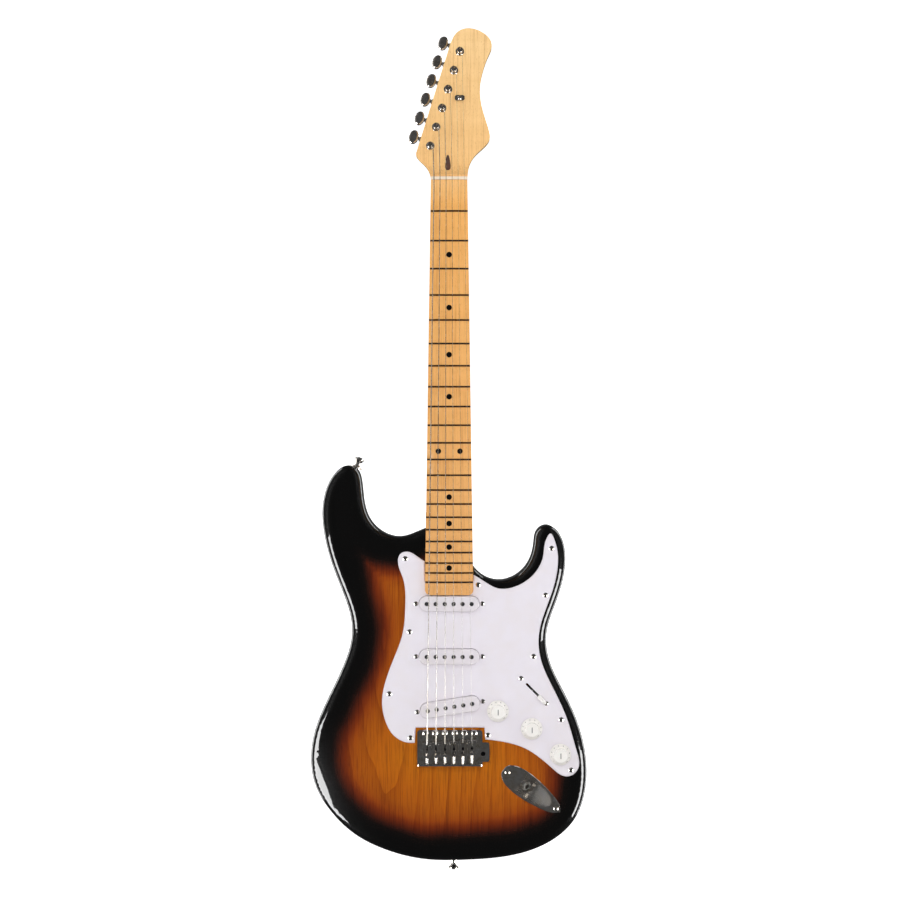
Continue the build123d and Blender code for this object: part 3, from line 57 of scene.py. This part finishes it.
MM = 0.001
SADDLE_Z = -0.648                      # the saddle line, below the nut
GRID_STEP = 0.006                      # mesh step over the body's faces, so that the burst shades smoothly
FLAT_ENOUGH = 0.8                      # share of a face's normal along Y that makes it a front or back face
COIL_RADIUS = 3.1 * MM
WIRE_RADIUS = 0.6 * MM
COIL_PITCH = 1.6 * MM
NUMBER_SIZE = 2.5 * MM
NUMBER_STEP = math.radians(30)
NUMBER_START = math.radians(252)
NUMBER_RADIUS = 10.75 * MM
SKIRT_DEPTH = 2.8 * MM                 # of the numbers, in front of the knob's rear face
SPRING_COIL = (0.014, 0.100)           # lowest and highest turn of the springs, above the saddle line
STRING_CUTS = (-0.009, 0.034, 0.003)   # where the strings' mesh is cut: first, end and step
BURST_DEPTH = 120                      # distance from the rim that the stored depth runs over, in millimetres
LIGHT_MIDDLE = -0.1                    # height of the tall strips' middle

# Front outline of the body, in millimetres from where the centre line crosses the saddle line.
BODY_OUTLINE = (
    (-63, 234), (-80, 241), (-93, 255), (-99, 272), (-102, 297), (-108, 313), (-119, 317), (-134, 307),
    (-143, 291), (-148, 264), (-145, 233), (-137, 203), (-124, 169), (-115, 141), (-113.5, 119),
    (-122, 87), (-139, 50), (-156, 10), (-162, -27), (-156, -61), (-139, -88), (-112, -113), (-75, -131),
    (-30, -142), (20, -143), (72, -138), (117, -122), (146, -96), (159, -60), (158, -13), (144, 32),
    (126, 68), (115, 97), (114, 124), (123, 153), (133, 185), (135.5, 215), (132, 231), (124.5, 242.5),
    (113, 247.5), (102.5, 241), (99, 226), (92, 203), (75, 187), (54, 183), (37, 190), (22, 208), (6, 232),
    (-18, 245), (-42, 237.5),
)
# The burst's colour by distance from the rim, in millimetres, as screen colours.
BURST = (
    (0, (1, 1, 1)), (18, (2, 1, 1)), (25, (14, 5, 3)), (30, (54, 19, 8)), (36, (100, 36, 8)),
    (41, (132, 52, 9)),
    (47, (162, 75, 12)), (58, (180, 92, 13)), (76, (194, 103, 14)), (110, (202, 114, 15)),
)
# Places where the dark rim is wider: centre, reach and extra width, in millimetres from the saddle line.
WIDE_RIM = (((-118, 290), 50, 12), ((-122, 215), 45, 12), ((118, 225), 34, 8))


# ---------------------------------------------------------------- shader helpers
def linear(colour):
    """Scene-linear RGBA from a 0-255 screen colour."""
    parts = [c / 255 for c in colour]
    return [c / 12.92 if c <= 0.04045 else ((c + 0.055) / 1.055) ** 2.4 for c in parts] + [1.0]


def connect(tree, socket, value):
    """Links a socket or sets its value."""
    if isinstance(value, bpy.types.NodeSocket):
        tree.links.new(value, socket)
    else:
        socket.default_value = value


def add(tree, kind, settings=(), **inputs):
    """New shader node with its settings and inputs; an underscore in a name stands for a space."""
    node = tree.nodes.new("ShaderNode" + kind)
    for name, value in dict(settings).items():
        setattr(node, name, value)
    for name, value in inputs.items():
        connect(tree, node.inputs[name.replace("_", " ")], value)
    return node


def coords(tree, stretch=(1, 1, 1), turn=(0, 0, 0)):
    """Rest-frame coordinates in metres, stretched along each axis."""
    source = add(tree, "TexCoord").outputs["Object"]
    return add(tree, "Mapping", Vector=source, Scale=stretch, Rotation=turn).outputs["Vector"]


def noise(tree, vector, scale, detail=3.0, roughness=0.5, distortion=0.0):
    """Noise value around one half."""
    return add(tree, "TexNoise", Vector=vector, Scale=scale, Detail=detail, Roughness=roughness,
               Distortion=distortion).outputs["Fac"]


def remap(tree, value, low, high, to_low, to_high):
    """Value moved from one range to another, and kept inside it."""
    node = add(tree, "MapRange", Value=value)
    for name, number in zip(("From Min", "From Max", "To Min", "To Max"), (low, high, to_low, to_high)):
        connect(tree, node.inputs[name], number)
    return node.outputs["Result"]


def maths(tree, operation, a, b=0.0):
    """Result of one arithmetic step."""
    node = add(tree, "Math", {"operation": operation})
    connect(tree, node.inputs[0], a)
    connect(tree, node.inputs[1], b)
    return node.outputs["Value"]


def ramp(tree, value, stops):
    """Colour from a value through stops of (position, screen colour)."""
    node = add(tree, "ValToRGB", Fac=value)
    elements = node.color_ramp.elements
    while len(elements) < len(stops):
        elements.new(0.5)
    for element, (position, colour) in zip(elements, stops):
        element.position = position
        element.color = linear(colour)
    return node.outputs["Color"]


def mix(tree, share, a, b, blend="MIX"):
    """Mix of two colours."""
    node = add(tree, "Mix", {"data_type": "RGBA", "blend_type": blend})
    connect(tree, node.inputs[0], share)
    connect(tree, node.inputs[6], a)
    connect(tree, node.inputs[7], b)
    return node.outputs[2]


def grey(value):
    """Grey RGBA."""
    return (value, value, value, 1.0)


def bump(tree, height, distance, strength=1.0):
    """Surface normal from a height field; distance is the relief in metres."""
    return add(tree, "Bump", Height=height, Distance=distance, Strength=strength).outputs["Normal"]


def material(name, **inputs):
    """New material with inputs set on its principled shader."""
    made = bpy.data.materials.new(name)
    made.use_nodes = True
    tree = made.node_tree
    finish(tree, **inputs)
    return made, tree


def finish(tree, **inputs):
    """Sets or links inputs of the principled shader."""
    shader = tree.nodes["Principled BSDF"]
    for name, value in inputs.items():
        connect(tree, shader.inputs[name.replace("_", " ")], value)


# ---------------------------------------------------------------- materials
def sunburst_lacquer():
    """Clear gloss over wood that is stained from amber to black at the rim."""
    made, tree = material("sunburst_lacquer", Coat_Weight=1.0, Coat_IOR=1.5, Specular_IOR_Level=0.05)
    rim = add(tree, "Attribute", {"attribute_name": "rim"}).outputs["Fac"]
    drift = remap(tree, noise(tree, coords(tree), 14, 2), 0.3, 0.7, -0.02, 0.02)
    depth = maths(tree, "ADD", rim, drift)
    burst = ramp(tree, depth, [(d / BURST_DEPTH, colour) for d, colour in BURST])
    pores = noise(tree, coords(tree, (1, 1, 0.03)), 900, 4, 0.6)
    shade = ramp(tree, pores, [(0.34, (150, 140, 130)), (0.5, (235, 233, 230)), (0.72, (255, 252, 246))])
    stained = mix(tree, 0.6, burst, shade, "MULTIPLY")
    heart = add(tree, "VectorMath", {"operation": "SUBTRACT"})
    connect(tree, heart.inputs[0], coords(tree, (1, 1, 0.16)))
    connect(tree, heart.inputs[1], (-0.075, 0, -0.085))
    rings = add(tree, "TexWave", {"wave_type": "RINGS", "rings_direction": "Y", "wave_profile": "SAW"},
                Vector=heart.outputs["Vector"], Scale=20.0, Distortion=4.0, Detail=2.0, Detail_Scale=1.6)
    figure = ramp(tree, rings.outputs["Fac"], [(0.0, (212, 196, 178)), (0.35, (250, 246, 242)),
                                               (1.0, (255, 255, 255))])
    wood = mix(tree, 0.7, stained, figure, "MULTIPLY")
    smudge = noise(tree, coords(tree), 22, 4, 0.6)
    orange_peel = noise(tree, coords(tree), 190, 1)
    finish(tree, Base_Color=wood, Roughness=remap(tree, pores, 0.3, 0.7, 0.34, 0.26),
           Coat_Roughness=remap(tree, smudge, 0.4, 0.7, 0.015, 0.06),
           Coat_Normal=bump(tree, orange_peel, 0.02 * MM), Normal=bump(tree, pores, 0.03 * MM))
    return made


def maple():
    """Amber gloss maple with fine straight grain; paler on the headstock, which is painted light."""
    made, tree = material("maple", Coat_Weight=0.45, Coat_IOR=1.5, Specular_IOR_Level=0.1)
    height = add(tree, "SeparateXYZ", Vector=coords(tree)).outputs["Z"]
    along = remap(tree, height, -0.47, 0.16, 0, 1)
    # The stops from 0.76 up make the headstock paler: painted light, standing in for brighter light on the
    # head.
    base = ramp(tree, along, [(0.0, (243, 185, 118)), (0.7, (250, 188, 108)), (0.76, (255, 208, 142)),
                              (1.0, (255, 216, 156))])
    lines = noise(tree, coords(tree, (1, 1, 0.02)), 700, 5, 0.6, 0.3)
    grain = mix(tree, 0.55, base, ramp(tree, lines, [(0.3, (205, 178, 150)), (0.52, (252, 248, 240)),
                                                     (0.8, (255, 255, 252))]), "MULTIPLY")
    flecks = noise(tree, coords(tree, (1, 1, 0.22)), 1500, 1)
    rays = ramp(tree, flecks, [(0.30, (190, 150, 110)), (0.36, (255, 255, 255)), (1.0, (255, 255, 255))])
    # Flame stripes: wood figure, with its shifting sheen painted into the colour as fixed light and dark
    # bands.
    flame = noise(tree, coords(tree, (1, 1, 9), (0, 0.12, 0)), 9, 2)
    figured = mix(tree, 0.35, grain, rays, "MULTIPLY")
    flame_figure_painted_sheen = ramp(tree, flame, [(0.3, (243, 237, 228)), (0.7, (255, 255, 255))])
    finish(tree, Base_Color=mix(tree, 0.6, figured, flame_figure_painted_sheen, "MULTIPLY"),
           Roughness=remap(tree, lines, 0.3, 0.7, 0.42, 0.30),
           Coat_Roughness=remap(tree, noise(tree, coords(tree), 40, 3), 0.3, 0.7, 0.05, 0.16),
           Normal=bump(tree, lines, 0.03 * MM))
    return made


def walnut():
    """Dark brown lacquered wood with open pores."""
    made, tree = material("walnut", Coat_Weight=0.7)
    pores = noise(tree, coords(tree, (1, 1, 0.04)), 1200, 4, 0.65)
    tone = noise(tree, coords(tree, (1, 1, 0.1)), 120, 3)
    base = ramp(tree, tone, [(0.3, (64, 34, 20)), (0.7, (104, 60, 36))])
    dark = ramp(tree, pores, [(0.36, (110, 90, 80)), (0.5, (255, 255, 255))])
    finish(tree, Base_Color=mix(tree, 0.8, base, dark, "MULTIPLY"), Coat_Roughness=0.12,
           Roughness=remap(tree, pores, 0.3, 0.7, 0.5, 0.35), Normal=bump(tree, pores, 0.05 * MM))
    return made


def metal(name, colour, low, high, stretch=(1, 1, 1), tarnish=0.2):
    """Metal with hazy patches, fine scratches and a little tarnish."""
    made, tree = material(name, Metallic=1.0)
    patches = noise(tree, coords(tree), 130, 4, 0.6)
    scratches = noise(tree, coords(tree, stretch), 2600, 2)
    dull = [c * (1 - tarnish) for c in colour]
    warm = (dull[0], dull[1] * 0.97, dull[2] * 0.92)
    base = ramp(tree, patches, [(0.35, warm), (0.6, colour)])
    rough = remap(tree, patches, 0.3, 0.7, high, low)
    fine = remap(tree, scratches, 0.3, 0.7, 0.03, -0.03)
    finish(tree, Base_Color=base, Roughness=maths(tree, "ADD", rough, fine),
           Normal=bump(tree, scratches, 0.004 * MM))
    return made


def plastic(name, colour, low, high, grain=0.006, coat=0.1):
    """Moulded plastic: faint mottling, a fine skin and slightly handled gloss."""
    made, tree = material(name, Coat_Weight=coat, Coat_Roughness=0.05, Specular_IOR_Level=0.2)
    mottle = noise(tree, coords(tree), 55, 3)
    aged = (colour[0] * 0.994, colour[1] * 0.99, colour[2] * 0.98)
    skin = noise(tree, coords(tree), 1800, 2)
    handled = noise(tree, coords(tree), 75, 4, 0.7)
    finish(tree, Base_Color=ramp(tree, mottle, [(0.3, aged), (0.6, colour)]),
           Roughness=remap(tree, handled, 0.35, 0.7, low, high), Normal=bump(tree, skin, grain * MM))
    return made


def rubber():
    """Tan rubber tubing with a dusty surface."""
    made, tree = material("tubing")
    dust = noise(tree, coords(tree), 700, 4, 0.7)
    finish(tree, Base_Color=ramp(tree, dust, [(0.3, (176, 146, 100)), (0.7, (206, 178, 132))]),
           Roughness=0.75, Normal=bump(tree, dust, 0.05 * MM))
    return made


def coil_winding():
    """Red-brown enamelled wire, with the layers showing as fine rings across the depth; the dark between the
    rings is painted shade.
    """
    made, tree = material("coil_red")
    turns = add(tree, "TexWave", {"bands_direction": "Y"}, Vector=coords(tree), Scale=1600.0,
                Distortion=1.0)
    # Darkest where the bump dips between turns: painted shade in the grooves.
    base = ramp(tree, turns.outputs["Fac"], [(0.0, (44, 10, 8)), (1.0, (118, 40, 26))])
    finish(tree, Base_Color=base, Roughness=0.38, Normal=bump(tree, turns.outputs["Fac"], 0.05 * MM))
    return made


def cloth_lead():
    """Cloth-covered wire: two crossed sets of threads, with painted shade in the gaps between them."""
    made, tree = material("lead_cloth", Sheen_Weight=0.4, Roughness=0.85)
    threads = []
    for turn in (0.6, -0.6):
        wave = add(tree, "TexWave", Vector=coords(tree, (1, 1, 1), (turn, 0.4, turn)), Scale=900.0)
        threads.append(wave.outputs["Fac"])
    weave = maths(tree, "MAXIMUM", *threads)
    # Darker where neither thread rises: painted shade in the gaps of the weave.
    finish(tree, Base_Color=ramp(tree, weave, [(0.2, (150, 134, 98)), (0.9, (226, 214, 178))]),
           Normal=bump(tree, weave, 0.12 * MM))
    return made


def painted_block():
    """Grey enamel on cast steel with small chips."""
    made, tree = material("block_grey", Coat_Weight=0.2)
    chips = noise(tree, coords(tree), 420, 5, 0.7)
    cast = noise(tree, coords(tree), 900, 3)
    enamel = ramp(tree, chips, [(0.25, (120, 118, 112)), (0.31, (64, 64, 66)), (0.8, (80, 80, 83))])
    finish(tree, Base_Color=enamel, Roughness=remap(tree, cast, 0.3, 0.7, 0.38, 0.55),
           Metallic=remap(tree, chips, 0.25, 0.31, 1.0, 0.2), Normal=bump(tree, cast, 0.05 * MM))
    return made


def wound_string():
    """Steel wire wound with fine nickel wire; the grooves between the turns have painted shade."""
    made, tree = material("string_wound", Metallic=1.0)
    wave = add(tree, "TexWave", {"bands_direction": "Z"}, Vector=coords(tree), Scale=620.0)
    turns = wave.outputs["Fac"]
    worn = noise(tree, coords(tree), 90, 3)
    # Darker where the bump dips between turns: painted shade in the grooves.
    base = ramp(tree, turns, [(0.0, (78, 73, 66)), (0.6, (160, 156, 150))])
    finish(tree, Base_Color=base, Roughness=remap(tree, worn, 0.3, 0.7, 0.22, 0.36),
           Normal=bump(tree, turns, 0.06 * MM))
    return made


def all_materials():
    """One finished material for each slot of the record."""
    return {
        "sunburst_lacquer": sunburst_lacquer(),
        "maple": maple(),
        "walnut": walnut(),
        # Fret wire darkened to brown: painted reflection of the dark surroundings, not the wire's own colour.
        "fret_wire": metal("fret_wire", (132, 114, 96), 0.16, 0.30),
        "nut_white": plastic("nut_white", (240, 222, 200), 0.30, 0.42),
        "dot_black": plastic("dot_black", (10, 9, 9), 0.12, 0.22, 0.002),
        "rod_steel": metal("rod_steel", (150, 150, 152), 0.30, 0.48, (1, 1, 0.05)),
        "nickel": metal("nickel", (220, 217, 214), 0.1, 0.22, (1, 1, 0.3), 0.15),
        "guard_white": plastic("guard_white", (240, 235, 243), 0.16, 0.26),
        "cover_white": plastic("cover_white", (232, 226, 232), 0.24, 0.34),
        "knob_white": plastic("knob_white", (250, 247, 243), 0.20, 0.32),
        "coil_red": coil_winding(),
        "magnet": metal("magnet", (150, 150, 154), 0.18, 0.34, (1, 0.2, 1)),
        "tubing": rubber(),
        "zinc_steel": metal("zinc_steel", (190, 190, 188), 0.26, 0.42, (1, 1, 1), 0.25),
        "lead_cloth": cloth_lead(),
        "block_grey": painted_block(),
        "string_steel": metal("string_steel", (168, 166, 162), 0.2, 0.32, (1, 1, 0.02), 0.05),
        "cover_plastic": plastic("cover_plastic", (238, 233, 240), 0.16, 0.28),
    }


# ---------------------------------------------------------------- mesh helpers
def new_piece(name, mesh, body, finish_material):
    """Mesh object that rides on a CAD body and takes its finish from a material slot."""
    piece = bpy.data.objects.new(name, mesh)
    bpy.context.scene.collection.objects.link(piece)
    if not mesh.materials:
        mesh.materials.append(finish_material)
    if body:
        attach(piece, body)
    return piece


def copied_mesh(node, name):
    """Copy of a CAD node's mesh in its place."""
    mesh = frame["nodes"][node].data.copy()
    mesh.name = name
    return mesh


def cut_at(built, faces, axis, places):
    """Cuts faces where they cross planes across one axis."""
    geometry = list({e for f in faces for e in f.edges} | {v for f in faces for v in f.verts}) + list(faces)
    normal = Vector((axis == 0, axis == 1, axis == 2))
    for place in places:
        result = bmesh.ops.bisect_plane(built, geom=geometry, dist=1e-6, plane_co=normal * place,
                                        plane_no=normal)
        geometry = result["geom"]


def smooth_outline(points, steps=8):
    """Points along a closed Catmull-Rom curve through an outline."""
    knots = np.array(points, float)
    before, after, beyond = np.roll(knots, 1, 0), np.roll(knots, -1, 0), np.roll(knots, -2, 0)
    rows = []
    for step in range(steps):
        t = step / steps
        square = (2 * before - 5 * knots + 4 * after - beyond) * t ** 2
        cube = (3 * knots - before - 3 * after + beyond) * t ** 3
        rows.append(0.5 * (2 * knots + (after - before) * t + square + cube))
    return np.stack(rows, 1).reshape(-1, 2)


def rim_depth(places):
    """Distance from the body's outline as a share of the burst's depth, less where the dark rim is wider."""
    outline = smooth_outline(BODY_OUTLINE)
    flat = places[:, [0, 2]] / MM - np.array([0, SADDLE_Z / MM])
    starts, spans = outline, np.roll(outline, -1, 0) - outline
    offset = flat[:, None] - starts[None]
    share = np.clip((offset * spans).sum(2) / (spans ** 2).sum(1), 0, 1)
    distance = np.sqrt(((offset - share[..., None] * spans) ** 2).sum(2)).min(1)
    for centre, reach, extra in WIDE_RIM:
        away = np.hypot(*(flat - np.array(centre)).T) / reach
        distance -= extra * np.exp(-away ** 2)
    return np.clip(distance / BURST_DEPTH, 0, 1)


def apply_normals(piece, source):
    """Gives a re-cut mesh the smooth normals of the mesh it came from."""
    modifier = piece.modifiers.new("normals", "DATA_TRANSFER")
    modifier.object = source
    modifier.use_loop_data = True
    modifier.data_types_loops = {"CUSTOM_NORMAL"}
    modifier.loop_mapping = "POLYINTERP_NEAREST"
    with bpy.context.temp_override(object=piece, active_object=piece, selected_objects=[piece]):
        bpy.ops.object.modifier_apply(modifier=modifier.name)


# ---------------------------------------------------------------- pieces that replace CAD nodes
def lacquered_body():
    """The body with a finer mesh over its faces and the burst's depth stored at each point."""
    mesh = copied_mesh("body", "body_lacquered")
    built = bmesh.new()
    built.from_mesh(mesh)
    low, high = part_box("body")
    for axis in (0, 2):
        faces = [face for face in built.faces if abs(face.normal.y) > FLAT_ENOUGH]
        cut_at(built, faces, axis, np.arange(low[axis] + GRID_STEP, high[axis], GRID_STEP))
    built.to_mesh(mesh)
    built.free()
    places = np.zeros(len(mesh.vertices) * 3)
    mesh.vertices.foreach_get("co", places)
    rim = mesh.attributes.new("rim", "FLOAT", "POINT")
    rim.data.foreach_set("value", rim_depth(places.reshape(-1, 3)).astype(np.float32))
    mesh.materials.clear()
    piece = new_piece("body_lacquered", mesh, None, materials["sunburst_lacquer"])
    apply_normals(piece, frame["nodes"]["body"])
    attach(piece, "instrument")
    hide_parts("body")


def string_set():
    """The six strings, wound on the bass side, with the mesh cut finer near the saddle line where they reach
    the rocking bridge.
    """
    mesh = copied_mesh("strings", "string_set")
    built = bmesh.new()
    built.from_mesh(mesh)
    cut_at(built, list(built.faces), 2, SADDLE_Z + np.arange(*STRING_CUTS))
    for face in built.faces:
        face.smooth = True
        face.material_index = int(face.calc_center_median().x < 0)
    built.to_mesh(mesh)
    built.free()
    if "custom_normal" in mesh.attributes:
        mesh.attributes.remove(mesh.attributes["custom_normal"])
    mesh.set_sharp_from_angle(angle=math.radians(50))
    mesh.materials.clear()
    mesh.materials.append(materials["string_steel"])
    mesh.materials.append(wound_string())
    piece = new_piece("string_set", mesh, None, materials["string_steel"])
    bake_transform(piece)
    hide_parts("strings")


def tube_along(built, path, radius, sides=8):
    """Adds a round tube along a list of points, closed at both ends."""
    rings = []
    for index, point in enumerate(path):
        ahead = path[min(index + 1, len(path) - 1)] - path[max(index - 1, 0)]
        turn = ahead.to_track_quat("Z", "X").to_matrix()
        ring = []
        for side in range(sides):
            angle = 2 * math.pi * side / sides
            spoke = Vector((radius * math.cos(angle), radius * math.sin(angle), 0))
            ring.append(built.verts.new(point + turn @ spoke))
        rings.append(ring)
    for lower, upper in zip(rings, rings[1:]):
        for side in range(sides):
            following = (side + 1) % sides
            built.faces.new((lower[side], lower[following], upper[following], upper[side]))
    built.faces.new(reversed(rings[0]))
    built.faces.new(rings[-1])


def spring_path(x, depth, low, high, foot, hook):
    """Points along one spring: straight foot, close windings and straight hook."""
    turns = round((high - low) / COIL_PITCH)
    path = [Vector(foot), Vector((x + COIL_RADIUS, depth, low - 2 * MM))]
    steps = 12
    for step in range(turns * steps + 1):
        angle = 2 * math.pi * step / steps
        across, inward = COIL_RADIUS * math.cos(angle), COIL_RADIUS * math.sin(angle)
        height = low + (high - low) * step / (turns * steps)
        path.append(Vector((x + across, depth + inward, height)))
    path.append(Vector(hook))
    return path


def vibrato_springs():
    """Three real coils between the claw and the block."""
    low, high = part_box("tremolo_springs")
    claw_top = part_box("spring_claw")[1].z
    coil_low, coil_high = SPRING_COIL
    reach = COIL_RADIUS + WIRE_RADIUS
    depth = high.y - reach
    first, last = low.x + reach, high.x - reach
    built = bmesh.new()
    for x in (first, (first + last) / 2, last):
        foot = (x, depth - 1.0 * MM, low.z + WIRE_RADIUS)
        hook = (x, depth, claw_top + 2.6 * MM)
        path = spring_path(x, depth, SADDLE_Z + coil_low, SADDLE_Z + coil_high, foot, hook)
        tube_along(built, path, WIRE_RADIUS)
    for face in built.faces:
        face.smooth = True
    mesh = bpy.data.meshes.new("vibrato_springs")
    built.to_mesh(mesh)
    built.free()
    piece = new_piece("vibrato_springs", mesh, None, materials["zinc_steel"])
    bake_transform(piece)
    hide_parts("tremolo_springs")


# ---------------------------------------------------------------- knob numbers
def glyph(text, size):
    """Flat mesh of a short text, centred on the origin."""
    curve = bpy.data.curves.new("glyph", "FONT")
    curve.body = text
    curve.size = size
    curve.align_x = "CENTER"
    curve.align_y = "CENTER"
    curve.extrude = 0.03 * MM
    curve.resolution_u = 3
    holder = bpy.data.objects.new("glyph", curve)
    bpy.context.scene.collection.objects.link(holder)
    bpy.context.view_layer.update()
    mesh = bpy.data.meshes.new_from_object(holder.evaluated_get(bpy.context.evaluated_depsgraph_get()))
    bpy.data.objects.remove(holder)
    return mesh


def knob_marks(control, ink):
    """Numbers round a knob's skirt and a bar on its crown."""
    low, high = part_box(control + "_knob")
    middle = (low + high) / 2
    skirt_y = high.y - SKIRT_DEPTH
    built = bmesh.new()
    for number in range(1, 11):
        angle = NUMBER_START - NUMBER_STEP * number
        outward = Vector((math.cos(angle), 0, math.sin(angle)))
        normal = (outward * 3.6 + Vector((0, -3.4, 0))).normalized()
        up = (outward * -3.4 + Vector((0, -3.6, 0))).normalized()
        place = Vector((middle.x, skirt_y, middle.z)) + outward * NUMBER_RADIUS + normal * 0.02 * MM
        turn = Matrix((up.cross(normal), up, normal)).transposed().to_4x4()
        mesh = glyph(str(number), NUMBER_SIZE)
        mesh.transform(Matrix.Translation(place) @ turn)
        built.from_mesh(mesh)
    bar = bmesh.ops.create_cube(built, size=1.0)["verts"]
    bmesh.ops.scale(built, vec=(0.9 * MM, 0.06 * MM, 6.4 * MM), verts=bar)
    bmesh.ops.translate(built, vec=(middle.x, low.y, middle.z), verts=bar)
    mesh = bpy.data.meshes.new(control + "_marks")
    built.to_mesh(mesh)
    built.free()
    new_piece(control + "_marks", mesh, control + "_control", ink)


# ---------------------------------------------------------------- stage
def floor_glow(tree):
    """Light the paper sends to the camera only, which keeps it near white without lighting the guitar."""
    seen = add(tree, "LightPath").outputs["Is Camera Ray"]
    return maths(tree, "MULTIPLY", seen, 0.85)


def floor_material():
    """Pale paper sweep with a very fine tooth."""
    made, tree = material("floor_paper", Roughness=0.9)
    tooth = noise(tree, coords(tree), 160, 4)
    finish(tree, Base_Color=ramp(tree, tooth, [(0.3, (243, 243, 243)), (0.7, (250, 250, 250))]),
           Emission_Color=grey(1.0), Emission_Strength=floor_glow(tree), Normal=bump(tree, tooth, 0.05 * MM))
    return made


def paper_sweep():
    """Floor that curves up into a backdrop, just under the guitar."""
    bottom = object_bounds()[0][2] - 0.012
    radius, back, wide = 1.2, 3.0, 6.0
    profile = [(-4.5, bottom)]
    for step in range(13):
        angle = math.pi / 2 * step / 12
        profile.append((back - radius + radius * math.sin(angle), bottom + radius * (1 - math.cos(angle))))
    profile.append((back, bottom + 5.0))
    built = bmesh.new()
    columns = [[built.verts.new((side, y, z)) for y, z in profile] for side in (-wide, wide)]
    for left, right in zip(zip(columns[0], columns[0][1:]), zip(columns[1], columns[1][1:])):
        built.faces.new((left[0], right[0], right[1], left[1]))
    mesh = bpy.data.meshes.new("paper_sweep")
    built.to_mesh(mesh)
    built.free()
    for polygon in mesh.polygons:
        polygon.use_smooth = True
    mesh.materials.append(floor_material())
    sweep = bpy.data.objects.new("paper_sweep", mesh)
    bpy.context.scene.collection.objects.link(sweep)
    sweep.visible_glossy = False
    sweep.visible_shadow = False
    sweep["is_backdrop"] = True


def soft_light(name, place, target, size, power, diffuse=True, glossy=True):
    """Rectangular soft light, which may be kept out of diffuse light or out of reflections."""
    light = bpy.data.lights.new(name, "AREA")
    light.shape = "RECTANGLE"
    light.size, light.size_y = size
    light.energy = power
    holder = bpy.data.objects.new(name, light)
    bpy.context.scene.collection.objects.link(holder)
    holder.location = place
    aim = Vector(target) - Vector(place)
    holder.rotation_euler = aim.to_track_quat("-Z", "Y").to_euler()
    holder.visible_diffuse = diffuse
    holder.visible_glossy = glossy
    holder.visible_camera = False


def tall_strip(name, x, y, width, power):
    """Upright strip beside the guitar that only draws highlights along its edges."""
    soft_light(name, (x, y, LIGHT_MIDDLE), (0, y, LIGHT_MIDDLE), (width, 3.0), power, diffuse=False)


def pale_world():
    """World that is white to the camera and dim in reflections."""
    world = bpy.data.worlds.new("studio")
    bpy.context.scene.world = world
    world.use_nodes = True
    tree = world.node_tree
    camera_ray = add(tree, "LightPath").outputs["Is Camera Ray"]
    background = tree.nodes["Background"]
    connect(tree, background.inputs["Color"], mix(tree, camera_ray, grey(0.08), grey(1.0)))


def front_camera():
    """Level camera in front of the guitar, at the height of its middle."""
    camera = bpy.data.cameras.new("camera")
    camera.sensor_width = 36
    camera.lens = 79.5
    holder = bpy.data.objects.new("camera", camera)
    bpy.context.scene.collection.objects.link(holder)
    holder.location = (0.001, -2.3, -0.313)
    holder.rotation_euler = (math.pi / 2, 0, 0)
    bpy.context.scene.camera = holder
    bpy.context.scene.view_settings.view_transform = "Standard"


def studio():
    """Soft fills that light the guitar, strips for its highlights, the world and the camera."""
    for side in (-1, 1):
        soft_light("side_fill", (1.2 * side, -0.9, 0.77), (0, -0.9, 0.77), (1.6, 2.86), 17, glossy=False)
        tall_strip("edge_strip", 1.2 * side, -0.66, 0.76, 115)
        tall_strip("back_strip", 1.3 * side, 0.9, 0.5, 30)
    soft_light("front_fill", (0, -3.0, 0.6), (0, 0, -0.3), (2.4, 2.4), 42, glossy=False)
    soft_light("back_fill", (0, 2.4, 0.8), (0, 0, -0.3), (2.0, 2.0), 20, glossy=False)
    pale_world()
    front_camera()


# ---------------------------------------------------------------- build
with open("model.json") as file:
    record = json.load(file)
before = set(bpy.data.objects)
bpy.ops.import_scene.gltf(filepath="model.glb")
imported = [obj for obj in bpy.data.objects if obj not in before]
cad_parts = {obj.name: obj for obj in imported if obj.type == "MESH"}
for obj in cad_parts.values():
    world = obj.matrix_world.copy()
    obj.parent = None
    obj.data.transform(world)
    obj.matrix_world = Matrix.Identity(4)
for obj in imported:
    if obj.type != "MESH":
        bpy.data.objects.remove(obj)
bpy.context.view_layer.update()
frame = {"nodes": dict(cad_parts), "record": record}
materials = all_materials()

for part in frame["record"]["subparts"]:
    frame["nodes"][part["node"]].data.materials[0] = materials[part["material_slot"]]

lacquered_body()
string_set()
vibrato_springs()
number_ink = plastic("number_ink", (92, 88, 88), 0.35, 0.5, 0.002)
for control in ("volume", "tone_1", "tone_2"):
    knob_marks(control, number_ink)

paper_sweep()
studio()
